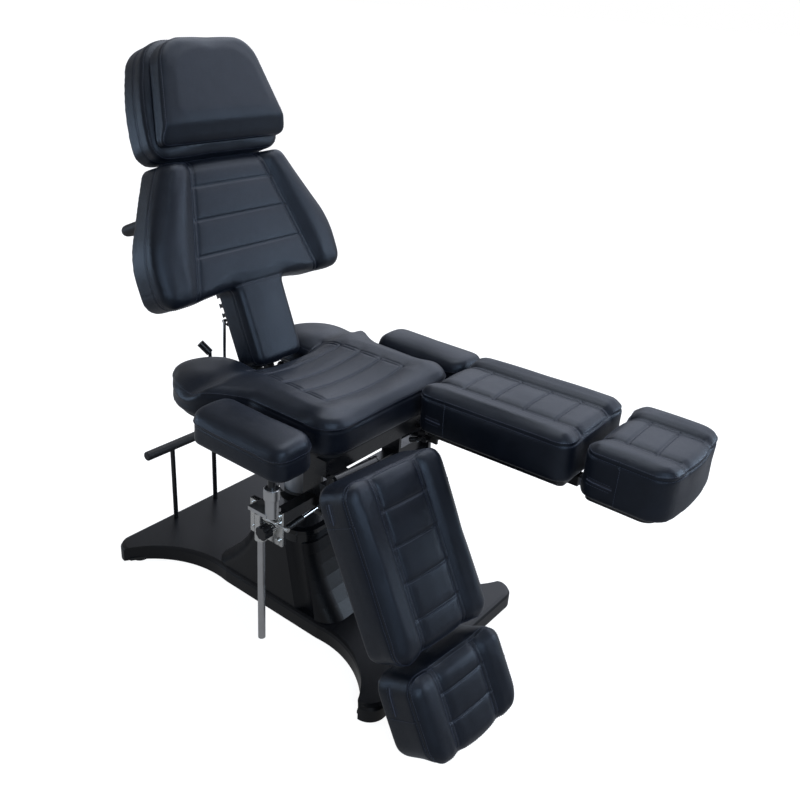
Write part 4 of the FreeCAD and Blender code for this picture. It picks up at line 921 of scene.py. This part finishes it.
def make_head():
    points = head_points()
    crown = crown_across(HEAD_HALF, 4)
    obj = cushion("head_pad", points, BACK_LOW, BACK_TOP, crown, cap=4, roll=16, skirt=10)
    band_seam(obj, BACK_TOP - 14, 1.6, 2.6, 0.8)
    band_seam(obj, BACK_TOP - 46, 1.2, 2.4, 0.0)
    rows = [ring_on(obj, points, BACK_TOP - 9), ring_on(obj, points, BACK_TOP - 42)]
    finish_cushion(obj, "headrest", ("head_cushion",), BACK, rows)


def make_pillow():
    """Pillow on the headrest, whose lower end slopes down from a crease."""
    points = pillow_points()

    def slope(y):
        """Share of the way from the crease to the lower end."""
        return np.clip((PILLOW_CREASE - y) / 41, 0, 1)

    def bevel(places):
        rise = smooth_step((places[:, 2] - PILLOW_LOW) / (PILLOW_TOP - PILLOW_LOW))
        places[:, 2] -= slope(places[:, 1]) * 26 * rise
        return places

    def rim(x, y):
        return PILLOW_TOP - 12 - slope(y) * 23

    def above_rim(x, y):
        return PILLOW_TOP - 7 - slope(y) * 24

    crown = crown_across(186, 4)
    obj = cushion("head_pillow_pad", points, PILLOW_LOW, PILLOW_TOP, crown,
                  voxel=5, cap=4, roll=11, shape=bevel)
    band_seam(obj, rim, 1.4, 2.4, 0.8)
    finish_cushion(obj, "headrest", ("head_pillow",), BACK, [ring_on(obj, points, above_rim)])


def make_arms():
    for side, name in SIDES:
        points = arm_points(side)
        crown = crown_across(58, 7, side * ARM_CENTRE)
        obj = cushion(name + "_arm_pad", points, ARM_LOW, SEAT_TOP, crown, voxel=5, roll=24, grow=2.5)
        band_seam(obj, SEAT_TOP - 36, 1.8, 3.0, 0.9)
        rows = [ring_on(obj, points, SEAT_TOP - 30)]
        finish_cushion(obj, name + "_arm", (name + "_arm_cushion",), LEVEL, rows)


def ribbed_pad(name, points, low, top, grow, facing, seam_ys, side_ys, details):
    """Leg or foot pad: raised sides, cross seams between double seams, a rim seam, tabs and a zip."""
    across = smooth_profile([(0, 0), (40, -1), (65, -5), (88, 4), (114, 8), (141, 4)])
    seam_x = 65
    facing_y, away = facing

    def crown(x, y):
        return across(x) - 6 * (1 - smooth_step((y - facing_y) * away / 28))

    obj = cushion(name + "_pad", points, low, top, crown, grow=grow)
    lines = [[(-seam_x, y), (seam_x, y)] for y in seam_ys]
    sides = on_both_sides([(seam_x, y) for y in side_ys])
    sew(obj, single(lines) + double(sides))
    rim = top - 13
    band_seam(obj, rim, 2.2, 2.6, 1.4)
    rows = single_rows(obj, lines) + double_rows(obj, sides)
    rows += [ring_on(obj, points, z) for z in (rim + 6, rim - 4)]
    more, pieces = side_details(obj, name, *details, rim, low)
    return obj, rows + more, pieces


def even_cuts(start, length, count):
    """Places that divide a length, running forward from its start, into equal panels."""
    return [start - length * k / count for k in range(1, count)]


def make_legs():
    """One leg pad and one foot pad, copied to both sides; their ends that face each other are lowered."""
    leg = ribbed_pad("leg", rectangle(-LEG_HALF, LEG_HALF, LEG_FRONT, LEG_REAR, 32), LEG_LOW, LEG_TOP, 4,
                     facing=(LEG_FRONT, 1), seam_ys=even_cuts(5, 393, 5),
                     side_ys=(LEG_FRONT + 10, LEG_REAR - 10), details=(LEG_HALF, -75, -28))
    foot = ribbed_pad("foot", foot_points(), FOOT_LOW, FOOT_TOP, 5,
                      facing=(FOOT_REAR, -1), seam_ys=even_cuts(-8, 190, 3),
                      side_ys=(-186, -20), details=(FOOT_HALF, -92, -28))
    for side, name in SIDES:
        for kind, (pad, rows, pieces), matrix in (("leg", leg, leg_matrix), ("foot", foot, foot_matrix)):
            body = name + "_" + kind
            made = copy_of(pad, body + "_pad")
            extra = [copy_of(piece, name + "_" + piece.name) for piece in pieces]
            finish_cushion(made, body, (body + "_cushion",), matrix(side, name), rows, extra)
    for pad, _, pieces in (leg, foot):
        for obj in (pad, *pieces):
            bpy.data.objects.remove(obj)


# Stage, light and camera
GLOSSY_SHARE = 0.24
WINDOW_SIDE = (0.996, -0.087, 0)


def area_light(name, place, aim, size, power, colour):
    data = bpy.data.lights.new(name, "AREA")
    data.shape = "RECTANGLE"
    data.size, data.size_y = size
    data.energy = power
    data.color = colour
    obj = bpy.data.objects.new(name, data)
    obj.location = place
    obj.rotation_euler = (Vector(aim) - Vector(place)).to_track_quat("-Z", "Y").to_euler()
    scene.collection.objects.link(obj)


def seen_or_not(nt, seen, other):
    """One colour for what the camera, glass and, in part, reflections see, and another for bounced light."""
    path = add(nt, "LightPath").outputs
    glossy = add(nt, "Math", {0: path["Is Glossy Ray"], 1: GLOSSY_SHARE, 2: path["Is Camera Ray"]},
                 operation="MULTIPLY_ADD")
    total = add(nt, "Math", {0: glossy.outputs[0], 1: path["Is Transmission Ray"]},
                operation="ADD", use_clamp=True)
    mix = add(nt, "Mix", {"Factor": total.outputs[0], 6: other, 7: seen}, data_type="RGBA")
    return mix.outputs[2]


def studio_sky(nt):
    """Sky that is darker near the floor and away from the window side."""
    at = add(nt, "TexCoord").outputs["Generated"]
    split = add(nt, "SeparateXYZ", {"Vector": at})
    height = ramp(nt, split.outputs["Z"], (0.04, 0.043, 0.05), (1.0, 1.07, 1.25), 0.02, 0.6)
    toward = add(nt, "VectorMath", {0: at, 1: WINDOW_SIDE}, operation="DOT_PRODUCT")
    side = ramp(nt, toward.outputs["Value"], 0.12, 2.3, 0.48, 0.62)
    both = add(nt, "Mix", {"Factor": 1, 6: height, 7: side}, data_type="RGBA", blend_type="MULTIPLY")
    return both.outputs[2]


def make_floor():
    """White to the camera, grey to bounced light."""
    reach = 60
    corners = [(-reach, -reach, 0), (reach, -reach, 0), (reach, reach, 0), (-reach, reach, 0)]
    floor = mesh_of("stage_floor", corners, [(0, 1, 2, 3)])
    mat, nt, shader = new_material("floor_pale")
    fill(nt, shader, {
        "Base Color": seen_or_not(nt, rgba(0.4), (0.1, 0.1, 0.105, 1)),
        "Emission Color": seen_or_not(nt, rgba(0.93), rgba(0)),
        "Emission Strength": 1,
        "Roughness": 0.9,
        "Specular IOR Level": 0,
    })
    floor.data.materials.append(mat)


def make_light():
    world = bpy.data.worlds.new("studio")
    world.use_nodes = True
    nt = world.node_tree
    fill(nt, nt.nodes["Background"], {"Color": seen_or_not(nt, rgba(1), studio_sky(nt))})
    scene.world = world
    area_light("key", (-1.7, -2.7, 2.2), (0, 0.1, 0.8), (1.2, 1.0), 42, (0.62, 0.79, 1.0))
    area_light("rear", (-2.2, 3.0, 0.9), (-0.2, 0.4, 1.0), (1.5, 1.2), 24, (0.58, 0.76, 1.0))
    area_light("top", (0.6, 0.2, 3.3), (0.1, 0, 0.6), (2.0, 2.0), 36, (0.95, 0.97, 1.0))
    area_light("side", (3.2, -3.0, 1.4), (0, 0, 0.7), (1.6, 1.3), 40, (0.62, 0.8, 1.0))


def make_camera():
    """The photo's camera, as its fit to the chair's level and square edges gave it."""
    data = bpy.data.cameras.new("camera")
    data.lens = 38.853
    data.sensor_width = 36
    data.clip_end = 60
    obj = bpy.data.objects.new("camera", data)
    right = Vector((0.6188, -0.7829, 0.0648))
    up = Vector((0.3052, 0.3156, 0.8985))
    back = Vector((-0.7238, -0.5362, 0.4342))
    turn = Matrix((right, up, back)).transposed().to_4x4()
    obj.matrix_world = Matrix.Translation((-1.4190, -1.3468, 1.4873)) @ turn
    scene.collection.objects.link(obj)
    scene.camera = obj
    scene.view_settings.view_transform = "Standard"


make_seat()
make_back()
make_head()
make_pillow()
make_arms()
make_legs()
make_floor()
make_light()
make_camera()
